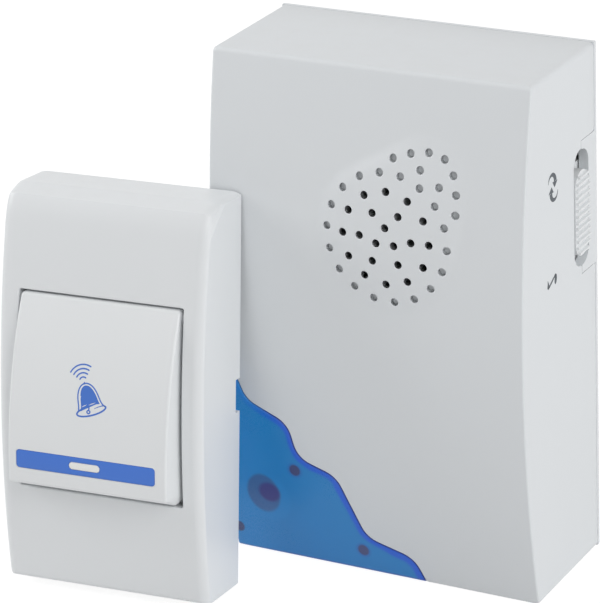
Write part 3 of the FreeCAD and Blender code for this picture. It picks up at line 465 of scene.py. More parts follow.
def net(loops, paths, loose, spacing, keep):
    """Flat triangle net: loops and paths stay edges, a square grid fills in, keep picks the triangles."""
    fixed = np.vstack(loops + paths + loose)
    low, high = fixed.min(axis=0), fixed.max(axis=0)
    steps = [np.arange(a + spacing / 2, b, spacing) for a, b in zip(low, high)]
    grid = np.stack(np.meshgrid(*steps), axis=-1).reshape(-1, 2)
    clear = np.full(len(grid), np.inf)
    for part in np.array_split(fixed, max(len(fixed) // net_chunk, 1)):
        clear = np.minimum(clear, nearest(grid, part))
    points = np.vstack([fixed, grid[clear > net_clear * spacing]])
    edges = []
    start = 0
    for loop in loops:
        ids = start + np.arange(len(loop))
        edges += paired(ids, np.roll(ids, -1)).tolist()
        start += len(loop)
    for path in paths:
        ids = start + np.arange(len(path))
        edges += paired(ids[:-1], ids[1:]).tolist()
        start += len(path)
    found, _, faces, source, _, _ = delaunay_2d_cdt(points.tolist(), edges, [], 0, net_tolerance, True)
    found = np.array([tuple(point) for point in found])
    first = np.array([ids[0] if ids else -1 for ids in source])
    found[first >= 0] = points[first[first >= 0]]
    faces = np.array(faces)
    return found, faces[keep(found[faces].mean(axis=1))]


def stood(flat, depth):
    """Net in x and z stood up as a face, its depth y from a function or a number."""
    points, faces = flat
    y = depth(points) if callable(depth) else np.full(len(points), depth)
    return np.stack([points[:, 0], y, points[:, 1]], axis=1), faces


def carried(rows, outward=True, keep=None):
    """Skin over a stack of equal loops, each joined to the next. Outward faces away from the middle."""
    count, size = rows.shape[:2]
    ids = np.arange(count * size).reshape(count, size)
    after = np.roll(ids, -1, axis=1)
    a, b, c, d = ids[:-1], after[:-1], after[1:], ids[1:]
    cells = np.ones(a.shape, bool) if keep is None else keep
    quads = np.stack([a, b, c, d], axis=-1)[cells]
    order = ((0, 2, 1), (0, 3, 2)) if outward else ((0, 1, 2), (0, 2, 3))
    return rows.reshape(-1, 3), np.vstack([quads[:, pick] for pick in order])


def level(loop, depth):
    """Loop in x and z set at a depth y."""
    return np.stack([loop[:, 0], np.broadcast_to(depth, len(loop)), loop[:, 1]], axis=1)


def wall_along(loop, depths, outward=True, keep=None):
    """Skin that carries a loop in x and z through several depths."""
    return carried(np.array([level(loop, depth) for depth in depths]), outward, keep)


def weld(*skins):
    """Several skins as one: points that lie together made one, empty triangles and unused points dropped."""
    offsets = np.cumsum([0] + [len(points) for points, _ in skins])
    points = np.vstack([points for points, _ in skins])
    faces = np.vstack([faces + offset for (_, faces), offset in zip(skins, offsets)])
    keys = np.round(points / WELD).astype(np.int64)
    _, first, back = np.unique(keys, axis=0, return_index=True, return_inverse=True)
    faces = back.reshape(-1)[faces]
    a, b, c = faces.T
    faces = faces[(a != b) & (b != c) & (c != a)]
    used, faces = np.unique(faces, return_inverse=True)
    return points[first][used], faces.reshape(-1, 3)


def walled(skin, inward):
    """Open skin given its thickness: a copy drawn in and turned round, and a band along every open edge."""
    points, faces = skin
    count = len(points)
    edges = np.vstack([faces[:, (0, 1)], faces[:, (1, 2)], faces[:, (2, 0)]])
    _, back, times = np.unique(np.sort(edges, axis=1), axis=0, return_inverse=True, return_counts=True)
    a, b = edges[times[back.reshape(-1)] == 1].T
    bands = [np.stack([b, a, a + count], axis=1), np.stack([b, a + count, b + count], axis=1)]
    faces = np.vstack([faces, faces[:, ::-1] + count] + bands)
    return weld((np.vstack([points, inward(points)]), faces))


def turned(middle, radii, along, axis, sides):
    """Skin turned about an axis: a circle for each radius and distance, pinched shut at radius 0."""
    angle = 2 * pi * np.arange(sides) / sides
    across = [other for other in range(3) if other != axis]
    rows = np.zeros((len(radii), sides, 3))
    rows[..., across[0]] = middle[across[0]] + np.outer(radii, np.cos(angle))
    rows[..., across[1]] = middle[across[1]] + np.outer(radii, np.sin(angle))
    rows[..., axis] = np.array(along)[:, None]
    return weld(carried(rows, outward=(axis == 1) == (along[-1] > along[0])))


def held_in(points, low, high, wall):
    """Points drawn in, in x and z, to where they are a wall's thickness inside a rectangle."""
    inner = points.copy()
    inner[:, (0, 2)] = np.clip(points[:, (0, 2)], low + wall, high - wall)
    return inner


def added(name, data):
    """New object with its data, put into the scene."""
    made = bpy.data.objects.new(name, data)
    bpy.context.scene.collection.objects.link(made)
    return made


def piece(name, skin, finish, body, nodes=()):
    """Writes a skin into a mesh in metres, smooth except at creases, with its finish, ties it to its body,
    and hides the nodes it stands in for.
    """
    points, faces = skin
    mesh = bpy.data.meshes.new(name)
    mesh.from_pydata((points * MM).tolist(), [], faces.tolist())
    mesh.validate()
    mesh.shade_smooth()
    mesh.set_sharp_from_angle(angle=radians(crease_angle))
    mesh.materials.append(finish)
    made = added(name, mesh)
    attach(made, body)
    if nodes:
        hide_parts(*nodes)
    return made


# Chime receiver case

def hole_middles():
    """Middles of the speaker holes, ring by ring, and which of them go right through."""
    rings = zip(hole_ring_radii, hole_ring_counts, hole_ring_angles)
    parts = [circle(dome_middle, radius, count, radians(first), radians(first) + 2 * pi)
             for radius, count, first in rings]
    through = sum(hole_ring_counts[:through_ring_count])
    for radius, spread in zip(tip_hole_radii, tip_hole_angles):
        for side in ((-1, 1) if spread else (0,)):
            parts.append(circle(dome_middle, radius, 1, radians(dome_tip_angle + side * spread)))
    middles = np.vstack(parts)
    return middles, np.arange(len(middles)) < through


def egg_distance(points):
    """Distance inward from the hull of a large and a small circle, in the frame of its long axis."""
    offset = points - dome_middle
    along = offset @ dome_axis
    side = np.abs(offset @ np.array((-dome_axis[1], dome_axis[0])))
    taper = (dome_radius - dome_tip_radius) / dome_tip_distance
    run = sqrt(1 - taper * taper)
    place = along * run - side * taper
    base = dome_radius - np.hypot(side, along)
    tip = dome_tip_radius - np.hypot(side, along - dome_tip_distance)
    flank = dome_radius - side * run - along * taper
    return np.where(place < 0, base, np.where(place > run * dome_tip_distance, tip, flank))


def dome_rise(points):
    """Swelling of the dome: a ball cap held down by a slope along the egg outline, both transitions soft."""
    peak = dome_middle + dome_peak_distance * dome_axis
    cap = dome_height - ((points - peak) ** 2).sum(axis=1) / (2 * dome_ball_radius)
    slope = egg_distance(points) * tan(radians(dome_wall_slope))
    return soft_high(soft_low(cap, slope, dome_crown_blend), np.zeros(len(points)), dome_foot_blend)


def egg_loop(grow):
    """Egg outline grown by a distance: two arcs of the hull of the grown circles."""
    spread = np.arccos((dome_radius - dome_tip_radius) / dome_tip_distance)
    heading = radians(dome_tip_angle)
    tip = dome_middle + dome_tip_distance * dome_axis
    first, last = heading + spread, heading + 2 * pi - spread
    base = circle(dome_middle, dome_radius + grow, dome_base_steps, first, last)
    end = circle(tip, dome_tip_radius + grow, dome_tip_steps, heading - spread, heading + spread)
    flank = np.linspace(0, 1, dome_flank_steps, endpoint=False)[:, None]
    low = base[-1] + flank[1:] * (end[0] - base[-1])
    high = end[-1] + flank[1:] * (base[0] - end[-1])
    return np.vstack([base, low, end, high])


case_low = np.array((-half_width, 0.0))
case_high = np.array((half_width, case_height))
case_panel = (case_low, case_high, case_corners)
wave = rounded_path(lens_wave, lens_wave_round)
lens_region = np.vstack([wave, [(-half_width - 5, wave[-1, 1]), (-half_width - 5, -5), (wave[0, 0], -5)]])
holes, hole_through = hole_middles()


def case_face(points):
    """Depth of the receiver's front: the bow, less the dome, plus every round edge's fall."""
    y = bowed(points[:, 1], *case_arc) - dome_rise(points)
    edge = side_values(points, case_low, case_high, case_blend, case_edges)
    y += rolled(panel_distance(points, *case_panel), edge)
    fall = np.where(within(points, lens_region), lens_edge, lens_case_edge)
    y += rolled(np.maximum(path_distance(points, wave) - lens_gap, 0), fall)
    return y + rolled(np.maximum(nearest(points, holes) - hole_radius, 0), hole_rim)


def case_loop():
    """Outline of the case from the front, with stops where the wavy edge meets it."""
    stops = [wave[0] + (lens_gap * side, 0) for side in (-1, 1)]
    stops += [wave[-1] + (0, lens_gap * side) for side in (-1, 1)]
    return panel_loop(*case_panel, wall_net, stops, 8)


def edge_insets(radius, count, *further):
    """Distances inward evenly spread over a quarter-round edge, then 1 and further shares of its radius."""
    return radius * np.append(1 - np.sin(np.linspace(0, pi / 2, count + 1)[1:-1]), (1, *further))


def case_front_net(side):
    """Net of the front on one side of the wavy edge: -1 is the lens and 1 the case."""
    loop = case_loop()
    edge = beside(wave, lens_gap * -side)
    edge[0, 1] = wave[0, 1]
    edge[-1, 0] = wave[-1, 0]
    edges = side_values(loop, case_low, case_high, case_blend, case_edges)
    insets = edge_insets(1.0, 7, 1.3, 2.0)
    loops = [loop] + panel_rows(loop, *case_panel, np.outer(insets, edges))
    fall = lens_edge if side < 0 else lens_case_edge
    paths = [edge] + [beside(wave, -side * (lens_gap + d)) for d in edge_insets(fall, 5, 1.4)]
    lens_area = np.vstack([edge, lens_region[-3:]])
    if side < 0:
        return net(loops, paths, [], lens_net, lambda p: within(p, lens_area) & within(p, loop))
    for d in hole_rows:
        loops += [circle(middle, hole_radius + d, hole_sides) for middle in holes]
    slopes = np.vstack([egg_loop(grow) for grow in np.linspace(*dome_rows)])
    slopes = slopes[nearest(slopes, holes) > hole_radius + hole_clear]

    def keep(p):
        return (nearest(p, holes) > hole_radius) & ~within(p, lens_area) & within(p, loop)

    return net(loops, paths, [slopes], case_net, keep)


def seam_inset(y):
    """How far a wall draws in at the seam, a small round relief."""
    return rolled(case_seam - y, seam_relief)


def case_sides(side):
    """Left, top and bottom walls and the four upright corners, carried back along the outline."""
    loop = case_loop()
    heads = case_face(loop)
    depths = [lens_end, lens_back, 0.0, case_seam - seam_relief, case_seam - seam_start, case_seam]
    outward = panel_outward(loop, *case_panel)
    rows = [level(loop, heads), level(loop, heads + wall_start)]
    rows += [level(loop - outward * seam_inset(y), y) for y in depths]
    middles = (loop + np.roll(loop, -1, axis=0)) / 2
    in_lens = within(middles, lens_region)
    gap = path_distance(middles, wave) < 2 * lens_gap
    on_right = middles[:, 0] > half_width - WELD
    keep = np.ones((len(rows) - 1, len(loop)), bool)
    if side < 0:
        keep &= in_lens & ~gap
        keep[2:] = False
    else:
        keep[:3] &= ~in_lens & ~gap
        keep &= ~on_right
    return carried(np.array(rows), keep=keep)


def slot_front(grow):
    """Front half of the slot's outline in y and z, from the tab's edge round to the tab's edge again."""
    radius = slot_width / 2 + grow
    reach = (slot_length - slot_width) / 2
    turn = np.linspace(1.5 * pi - np.arcsin(tab_gap / radius), pi, 13)
    low = paired(slot_y + radius * np.cos(turn), slot_z - reach + radius * np.sin(turn))
    return np.vstack([low, (low * (1, -1) + (0, 2 * slot_z))[::-1]])


def right_wall():
    """Right wall in y and z: flat, less the slot's front half and the step for the cover's tab."""
    loop = case_loop()
    right = loop[loop[:, 0] > half_width - WELD]
    heads = case_face(right)
    front = paired(heads, right[:, 1])
    depths = np.array([lens_end, lens_back, 0.0, case_seam - seam_relief, case_seam - seam_start])
    low, high = right[0, 1], right[-1, 1]
    tab_low = slot_z - tab_height / 2 - tab_gap
    tab_high = slot_z + tab_height / 2 + tab_gap
    seam_z = right[:, 1]
    seam_z = seam_z[(seam_z < tab_low - tab_clear) | (seam_z > tab_high + tab_clear)]
    below, above = seam_z[seam_z < tab_low], seam_z[seam_z > tab_high]
    cut_y = slot_y - tab_gap
    steps = np.linspace(cut_y, case_seam, 6)
    outline = np.vstack([
        front[:1], paired(depths, low), paired(case_seam, below), paired(steps[::-1], tab_low),
        slot_front(0), paired(steps, tab_high), paired(case_seam, above), paired(depths, high)[::-1],
        front[:0:-1],
    ])
    rings = [slot_front(d) for d in edge_insets(slot_edge, 5, 1.5)]
    seam_rows = [paired(y, seam_z) for y in (case_seam - seam_relief, case_seam - seam_start)]
    rings.append(front + (wall_start, 0))
    points, faces = net([outline], rings, seam_rows, wall_net, between(outline))
    spread = np.array((slot_width / 2, slot_length / 2))
    middle = np.array((slot_y, slot_z))
    away = -panel_distance(points, middle - spread, middle + spread, slot_width / 2)
    x = half_width - rolled(np.maximum(away, 0), slot_edge) * (points[:, 0] < cut_y + WELD)
    x -= seam_inset(points[:, 0])
    return np.stack([x, points[:, 0], points[:, 1]], axis=1), faces


def hole_walls(through):
    """Straight walls of the speaker holes: through ones open at the inner face, blind ones with a floor."""
    skins = []
    for middle in holes[hole_through == through]:
        ring = circle(middle, hole_radius, hole_sides)
        head = case_face(ring)
        if through:
            foot = bowed(ring[:, 1], *case_arc) + case_wall
            skins.append(wall_along(ring, (head, foot), outward=False))
        else:
            foot = level(ring, head + blind_hole_depth)
            rows = np.array([level(ring, head), foot, np.broadcast_to(foot.mean(axis=0), foot.shape)])
            skins.append(carried(rows, outward=False))
    return skins


def into_case(points):
    """Nearest place on the case's inner face: held inside the walls and behind the bowed front."""
    inner = held_in(points, case_low, case_high, case_wall)
    face = bowed(inner[:, 2], *case_arc) + case_wall
    inner[:, 1] = np.maximum(points[:, 1], face)
    return inner


def case_shell():
    """Front case of the receiver, all but the corner lens."""
    outer = weld(stood(case_front_net(1), case_face), case_sides(1), right_wall(), *hole_walls(False))
    return walled(weld(outer, *hole_walls(True)), into_case)


def lens_shell():
    """Corner lens: its share of the front and of the left and bottom walls."""
    return walled(weld(stood(case_front_net(-1), case_face), case_sides(-1)), into_case)


# Push unit, in its own frame until it is leant on the receiver

def leant(skin):
    """Skin of the push unit tipped back and turned, its back lower edge on the ground."""
    points, faces = skin
    lean, turn = radians(push_lean), radians(push_turn)
    rise = push_height * cos(lean)
    corner = push_width / 2 * sin(turn) + push_height * sin(lean) * cos(turn)
    foot = bowed(rise, *case_arc) - push_rest_gap - corner
    matrix = np.array(Matrix.Rotation(turn, 3, "Z") @ Matrix.Rotation(-lean, 3, "X"))
    return points @ matrix.T + (push_x, foot, 0), faces


push_low = np.array((-push_width / 2, 0.0))
push_high = np.array((push_width / 2, push_height))


def side_sweep(x):
    """How far the push unit draws in towards its flat sides: a round band that ends in a crease."""
    beyond = np.clip(push_side_band - push_width / 2 + np.abs(x), 0, push_side_band)
    return push_side_radius - np.sqrt(push_side_radius ** 2 - beyond ** 2)


push_across = np.linspace(push_side_band - push_width / 2, push_width / 2 - push_side_band, 25)
push_up = np.concatenate([
    np.linspace(push_first_row, notch_low, 20), np.linspace(notch_low, notch_high, 5)[1:],
    np.linspace(notch_high, push_last_row, 19)[1:],
])


def push_loop():
    """Outline of the push unit from the front, anticlockwise, its top drawn in by the side bands too."""
    half = push_width / 2
    right_foot, left_foot = push_corners
    band = half - push_side_band * (1 - np.cos(np.linspace(0, pi / 2, 9)[:-1]))
    head = np.concatenate([band, push_across[::-1], -band[::-1]])
    tail = push_across[(push_across > left_foot - half) & (push_across < half - right_foot)]
    return np.vstack([
        circle((half - right_foot, right_foot), right_foot, 4, -pi / 2, 0), [(half, right_foot)],
        paired(half, push_up),
        paired(head, push_height - push_top_share * side_sweep(head)),
        paired(-half, push_up[::-1]),
        circle((left_foot - half, left_foot), left_foot, 8, pi, 1.5 * pi), [(left_foot - half, 0)],
        paired(tail, 0.0),
    ])


push_outline = push_loop()


def push_face(points):
    """Depth of the push unit's front: bow and section's fall, plus the outer edge and the well's rim."""
    x, z = points.T
    sweep = side_sweep(x)
    below = push_height - push_top_share * sweep - z
    brow = (push_brow_band - below) * tan(radians(push_brow_slope))
    top = (push_top_band - below) * tan(radians(push_top_slope))
    section = soft_high(top, np.zeros(len(z)), push_top_blend)
    section = soft_high(section, brow, push_brow_blend + push_brow_spread * sweep)
    section += rolled(below, push_head_round * sweep)
    y = bowed(z, *push_arc)
    y += np.maximum(sweep + section, rolled(z, push_foot_band))
    y += rolled(loop_distance(points, push_outline), push_edge)
    away = np.maximum(-panel_distance(points, *well_panel), 0)
    return y + rolled(away, well_rim)


def push_rows():
    """Points of a grid that bends with the section, close together in the bands."""
    reach = push_width / 2 - np.array((0.28, 0.4, 0.55, 0.75, 1.0, 1.25, 1.5, 1.7))
    across = np.concatenate([-reach, push_across, reach[::-1]])
    below = (0.28, 0.42, 0.6, 0.8, 1.0, 1.15, 1.26, 1.32, 1.38, 1.5,
             1.65, 1.85, 2.1, 2.4, 2.7, 2.95, 3.2, 3.6, 4.4)
    foot = (0.28, 0.38, 0.5, 0.65, 0.82, 1.0, 1.5)
    up = np.concatenate([foot, push_up, push_height - np.array(below)[::-1]])
    x, z = np.meshgrid(across, up)
    bend = np.clip((z - push_up[-1]) / (push_height - below[-1] - push_up[-1]), 0, 1)
    return np.stack([x, z - bend * push_top_share * side_sweep(x)], axis=-1).reshape(-1, 2)


def push_shell():
    """Front case of the push unit: bowed face with the well, walls back to the wall plate."""
    loop = push_outline
    well = panel_loop(*well_panel, 1.4)
    rows = drawn_in(loop, edge_insets(push_edge, 4))
    rows += panel_rows(well, *well_panel, -edge_insets(well_rim, 5, 1.5))
    loose = push_rows()
    clear = loop_distance(loose, loop) > push_edge * 1.3
    clear &= panel_distance(loose, *well_panel) < -well_rim * 2
    clear &= within(loose, loop)
    face = net([loop, well] + rows, [], [loose[clear]], push_net, between(loop, well))
    head = push_face(loop)
    depths = (head, head + wall_start, push_middle_row, -notch_depth, 0.0)
    x, z = ((loop + np.roll(loop, -1, axis=0)) / 2).T
    keep = np.ones((len(depths) - 1, len(loop)), bool)
    keep[-1] = (x < push_width / 2 - WELD) | (z < notch_low) | (z > notch_high)
    walls = wall_along(loop, depths, keep=keep)
    well_walls = wall_along(well, (push_face(well), well_back), outward=False)
    return walled(weld(stood(face, push_face), walls, well_walls), into_push)


def into_push(points):
    """Nearest place on the push case's inner face, and clear of the collar round the well."""
    inner = held_in(points, push_low, push_high, push_wall)
    middle, half = (well_low + well_high) / 2, (well_high - well_low) / 2 + well_wall
    offset = inner[:, (0, 2)] - middle
    short = half - np.abs(offset)
    sideways = short[:, 0] < short[:, 1]
    near = (short > 0).all(axis=1)
    for column, axis, chosen in ((0, 0, near & sideways), (2, 1, near & ~sideways)):
        moved = middle[axis] + np.sign(offset[:, axis]) * half[axis]
        inner[chosen, column] = moved[chosen]
    face = bowed(inner[:, 2], *push_arc) + push_wall
    inner[:, 1] = np.maximum(points[:, 1], face)
    return inner


# Rocker button with its strip and window

def rocker_plain(z):
    """Depth of the rocker's curved face, an arc along its height."""
    rise = np.sqrt(rocker_face_radius ** 2 - (z - rocker_crest_z) ** 2)
    return rocker_crest_y + rocker_face_radius - rise


def rocker_face(points):
    """The curved face plus the fall of its round outer edge."""
    away = panel_distance(points, *rocker_panel)
    return rocker_plain(points[:, 1]) + rolled(away, rocker_edge)


def rocker_sides(loop):
    """Walls from the face back, the lower one sloping down to the heel part of the way."""
    head = rocker_face(loop)
    falling = np.clip((rocker_low[1] + rocker_corners[0] - loop[:, 1]) / rocker_corners[0], 0, 1)
    rows = []
    for share in (0, 0.02, rocker_heel_share, 1):
        low = loop.copy()
        low[:, 1] -= falling * min(share / rocker_heel_share, 1) * (rocker_low[1] - rocker_heel)
        rows.append(level(low, head + share * (rocker_back - head)))
    return carried(np.array(rows))


def into_rocker(points):
    """Nearest place on the rocker's inner face: held inside the walls and behind the face."""
    inner = held_in(points, rocker_low, rocker_high, rocker_wall)
    inner[:, 1] = np.maximum(points[:, 1], rocker_plain(inner[:, 2]) + rocker_wall)
    return inner


def window_loop(grow):
    """Outline of the light window in the middle of the strip, grown by a gap."""
    return slot_loop(window_middle, window_width + 2 * grow, window_height + 2 * grow, 12)


def blunt_pin(middle, radius, tip_share, start, end, axis, sides):
    """Round pin along an axis, its far end narrowed to a share of its radius over a short chamfer."""
    along = (start, start, end - np.sign(end - start) * pin_chamfer, end, end)
    return turned(middle, radius * np.array((0, 1, 1, tip_share, 0)), along, axis, sides)


def rocker_shell():
    """Rocker: curved face with the strip's recess and the window's hole, walls, hinge pins and press post."""
    loop = panel_loop(*rocker_panel, 1.4)
    recess = panel_loop(strip_low - strip_gap, strip_high + strip_gap, strip_corner + strip_gap, recess_net)
    window = window_loop(strip_gap)
    rows = panel_rows(loop, *rocker_panel, edge_insets(rocker_edge, 6, 1.4, 2.2))
    face = stood(net([loop, recess] + rows, [], [], rocker_net, between(loop, recess)), rocker_face)
    floor = net([recess, window], [], [], recess_net, between(recess, window))
    floor = stood(floor, lambda p: rocker_plain(p[:, 1]) + strip_thickness)
    recess_y = rocker_plain(recess[:, 1])
    step = wall_along(recess, (recess_y, recess_y + strip_thickness), outward=False)
    shell = walled(weld(face, floor, step, rocker_sides(loop)), into_rocker)
    ends = np.array((rocker_high[0] - rocker_wall / 2, hinge_pin_end))
    pins = [blunt_pin((0, hinge_y, hinge_z), hinge_pin_radius, hinge_pin_tip, *(side * ends), 0, 24)
            for side in (-1, 1)]
    start = float(rocker_plain(press_post_z)) + rocker_wall / 2
    post = blunt_pin((0, 0, press_post_z), press_post_radius, press_post_tip, start, press_post_end, 1, 28)
    return weld(shell, *pins, post)


def inlay(outline, cut, edge, thickness, spacing):
    """Thin piece let into the rocker: its face follows the rocker's, with a fine round edge."""
    rims = [outline] if cut is None else [outline, cut]
    rows = [row for loop, side in zip(rims, (1, -1)) for row in drawn_in(loop, side * edge_insets(edge, 3))]

    def depth(points):
        y = rocker_plain(points[:, 1])
        for loop in rims:
            y += rolled(loop_distance(points, loop), edge)
        return y

    def behind(points):
        inner = points.copy()
        inner[:, 1] = rocker_plain(points[:, 2]) + thickness
        return inner

    return walled(stood(net(rims + rows, [], [], spacing, between(outline, cut)), depth), behind)


def strip_skin():
    """Blue strip, round at its corners, open round the window."""
    outline = panel_loop(strip_low, strip_high, strip_corner, strip_net)
    return inlay(outline, window_loop(strip_gap), strip_edge, strip_thickness - strip_sink, strip_net)


def window_skin():
    """Light window, a slot-shaped plug through the rocker's face."""
    return inlay(window_loop(0), None, window_edge, window_depth, window_net)


# Printed signs, thin closed films on the surface

def ribbon(path, width):
    """Net of a drawn line: the path moved to both sides by half its width at each point."""
    half = np.broadcast_to(width, len(path))[:, None] / 2
    count = len(path)
    ids = np.arange(count - 1)[:, None]
    faces = np.vstack([ids + (count, count + 1, 1), ids + (count, 1, 0)])
    return np.vstack([beside(path, half), beside(path, -half)]), faces


def ended(path, width):
    """Line width that rounds off at both ends, after a half circle."""
    steps = np.linalg.norm(np.diff(path, axis=0), axis=1)
    run = np.append(0, np.cumsum(steps))
    reach = np.minimum(np.minimum(run, run[-1] - run) / (width / 2), 1)
    return width * np.sqrt(np.maximum(1 - (1 - reach) ** 2, 0.02))


def arc_line_path(middle, radius, first, last, count):
    """Points along an arc, both ends included, crowded towards the ends."""
    share = (1 - np.cos(np.linspace(0, pi, count))) / 2
    angle = radians(first) + share * radians(last - first)
    return np.array(middle) + paired(np.cos(angle), np.sin(angle)) * radius


def bell_half_width(drop):
    """Half width of the bell, its drop 0 at the crown and 1 at the mouth: a round crown and a flared lip."""
    crown = np.sqrt(np.maximum(1 - (1 - drop) ** bell_crown_power, 0))
    return bell_waist * crown + bell_flare * drop ** bell_flare_power


def ribbon_loop(path, width):
    """Outline of a ribbon that tapers to both ends."""
    share = np.linspace(-1, 1, len(path))
    (points, _), count = ribbon(path, width * (1.06 - share ** 2)), len(path)
    return np.vstack([points[:count], points[count:][::-1]])


def bell_nets():
    """Bell standing upright, its mouth about the origin: outline, filled body, rim, clapper and arcs."""
    drop = np.sin(np.linspace(0, pi / 2, 40)) ** 2
    side = paired(bell_half_width(drop), bell_height * (1 - drop))
    outline = np.vstack([side[::-1], (side * (-1, 1))[1:-5]])
    width = np.append(np.full(len(outline) - 6, bell_line), np.linspace(bell_line, bell_side_end, 6))
    nets = [ribbon(outline, width)]
    right = beside(side, -bell_body_gap)
    left = beside(side, -bell_body_gap - bell_body_bulge * np.sin(pi * drop)[:, None]) * (-1, 1)
    right, left = right[(right[:, 0] > 0) & (drop < 0.82)], left[(left[:, 0] < 0) & (drop < 0.88)]
    body = np.vstack([right[::-1], left, bell_foot])
    shines = [ribbon_loop(np.array(path), bell_shine_line) for path in bell_shines]

    def keep(p):
        inside = within(p, body)
        for shine in shines:
            inside &= ~within(p, shine)
        return inside

    nets.append(net([body] + shines, [], [], sign_net, keep))
    nets.append(ribbon(arc_line_path((0, 0), bell_mouth, *rim_angles, 70), rim_line))
    nets.append(ribbon(bell_lip, np.linspace(bell_line, bell_lip_end, len(bell_lip))))
    nets.append(ribbon(arc_line_path(clapper_middle, clapper_radius, 0, 360, 25), clapper_line))
    nets.append(ribbon(clapper_stem, clapper_line))
    nets.append(ribbon(bell_hanger, bell_hanger_line))
    for radius, half_angle in zip(arc_radii, arc_half_angles):
        path = arc_line_path(arc_middle, radius, 90 - half_angle, 90 + half_angle, 30)
        nets.append(ribbon(path, ended(path, arc_line)))
    return nets


def film(nets, lift, sink):
    """Nets printed on a face: lifted a hair off it, closed by a copy sunk into it."""
    return [walled((lift(points), faces), sink) for points, faces in nets]


def bell_print():
    """Bell and sound arcs, tilted, on the rocker's curved face."""
    def lift(points):
        flat = points @ rotation(bell_tilt).T + bell_middle
        return level(flat, rocker_plain(flat[:, 1]) - print_height)

    return weld(*film(bell_nets(), lift, lambda p: p + (0, print_sink, 0)))


def arrow_nets():
    """Two arrows that chase each other: tapering arcs with heads, the second the first turned half round."""
    nets = []
    for side in (1, -1):
        path = arc_line_path((-0.5, 0.9), (1.4, 1.45), 175, 0, 30) * side
        share = (1 - np.cos(np.linspace(0, pi, 30))) / 2
        nets.append(ribbon(path, 0.12 + 0.98 * share))
        nets.append((np.array(((1.83, 0.8), (-0.21, 0.94), (0.61, -0.23))) * side, np.array(((0, 1, 2),))))
    return nets


def note_nets():
    """Music note lying back: an oval head, a stem and a flag."""
    angle = np.linspace(0, 2 * pi, 33)[:-1]
    oval = paired(0.47 * np.cos(angle), 0.92 * np.sin(angle)) @ rotation(-10).T + (1.42, 0.02)
    nets = [net([oval], [], [], 0.4, between(oval))]
    stem = np.array(((1.45, 0.9), (0.4, 0.35), (-0.65, -0.2), (-1.7, -0.75)))
    nets.append(ribbon(stem, 0.42))
    flag = np.array(((-1.6, -0.62), (-1.62, -0.2), (-1.68, 0.25), (-1.81, 0.77)))
    nets.append(ribbon(flag, (0.95, 0.72, 0.42, 0.1)))
    return nets


def wall_print(nets, middle):
    """Sign on the right wall, drawn in y and z."""
    def lift(points):
        flat = points + middle
        return np.stack([np.full(len(flat), half_width + print_height), flat[:, 0], flat[:, 1]], axis=1)

    faced = [(points, faced_right(points, faces)) for points, faces in nets]
    return weld(*film(faced, lift, lambda p: p - (print_sink, 0, 0)))


def faced_right(points, faces):
    """Triangles all turned anticlockwise, so that a net in y and z faces along x."""
    a, b, c = points[faces[:, 0]], points[faces[:, 1]], points[faces[:, 2]]
    area = (b[:, 0] - a[:, 0]) * (c[:, 1] - a[:, 1]) - (b[:, 1] - a[:, 1]) * (c[:, 0] - a[:, 0])
    return np.where(area[:, None] > 0, faces, faces[:, ::-1])


# Shader nodes: sizes of the patterns in millimetres, tints in linear colour

grain_size = 0.16
wave_size = 9.0
cloud_size = 22.0
dust_size = 3.0
dust_tint = (0.62, 0.60, 0.56)
scratch_size = 0.12
scratch_stretch = 0.12
stain_size = 2.4
stain_tint = (0.28, 0.24, 0.19)
mould_depth = 0.004
lens_tint = (0.012, 0.235, 0.60)
lens_rim_tint = (0.012, 0.125, 0.70)
# Painted shade: a dark line along the gap at the lens's wavy edge
lens_gap_shade_tint = (0.03, 0.045, 0.28)
# Painted shade: a darker purple strip along the lens's bottom edge
lens_foot_shade_tint = (0.05, 0.11, 0.50)
lens_rim_reach = (1.0, 0.2)
lens_rim_wander = 1.1
lens_wander_size = 5.0
# Reach and share of the painted shade along the gap at the wavy edge
lens_gap_shade_reach = (0.42, 0.1)
lens_gap_shade_share = 0.75
# Reach and share of the painted shade along the lens's bottom edge
lens_foot_shade_reach = (0.75 * MM, 0.3 * MM)
lens_foot_shade_share = 0.6
track_size = 2.2
track_tint = (0.06, 0.26, 0.09)
pad_size = 2.6
pad_tint = (0.62, 0.6, 0.55)
board_relief = 0.03
board_cloud_size = 4.0
board_tints = ((0.018, 0.115, 0.045), (0.028, 0.16, 0.06))
jacket_tints = ((0.012, 0.014, 0.02), (0.035, 0.04, 0.05))
shoulder_tint = (0.55, 0.33, 0.12)
shoulder_step = (44.0, 44.2)
scuff_size = 0.9


def place(tree, kind, inputs=None, **settings):
    """Adds a shader node, sets its options, and gives each named input a value or a link."""
    made = tree.nodes.new("ShaderNode" + kind)
    for key, value in settings.items():
        setattr(made, key, value)
    wired(tree, made, inputs or {})
    return made


def wired(tree, node, inputs):
    """Gives each named input of a node a value or a link."""
    for key, value in inputs.items():
        if isinstance(value, bpy.types.NodeSocket):
            tree.links.new(value, node.inputs[key])
        else:
            node.inputs[key].default_value = value


def maths(tree, operation, a, b):
    """Output of one arithmetic node."""
    return place(tree, "Math", {0: a, 1: b}, operation=operation).outputs[0]


def vector_maths(tree, operation, a, b):
    """Output of one node that works on vectors."""
    return place(tree, "VectorMath", {0: a, 1: b}, operation=operation).outputs[0]


def stepped(tree, value, low, high):
    """Soft step of a value, 0 at low and 1 at high."""
    return place(tree, "MapRange", {"Value": value, "From Min": low, "From Max": high},
                 interpolation_type="SMOOTHSTEP").outputs["Result"]


def mixed(tree, share, a, b):
    """Colour between two colours, each a link or a plain tint."""
    a, b = ((*colour, 1) if isinstance(colour, tuple) else colour for colour in (a, b))
    return place(tree, "Mix", {0: share, 6: a, 7: b}, data_type="RGBA").outputs[2]


def height_of(tree, vector):
    """Z of a vector."""
    return place(tree, "SeparateXYZ", {"Vector": vector}).outputs["Z"]


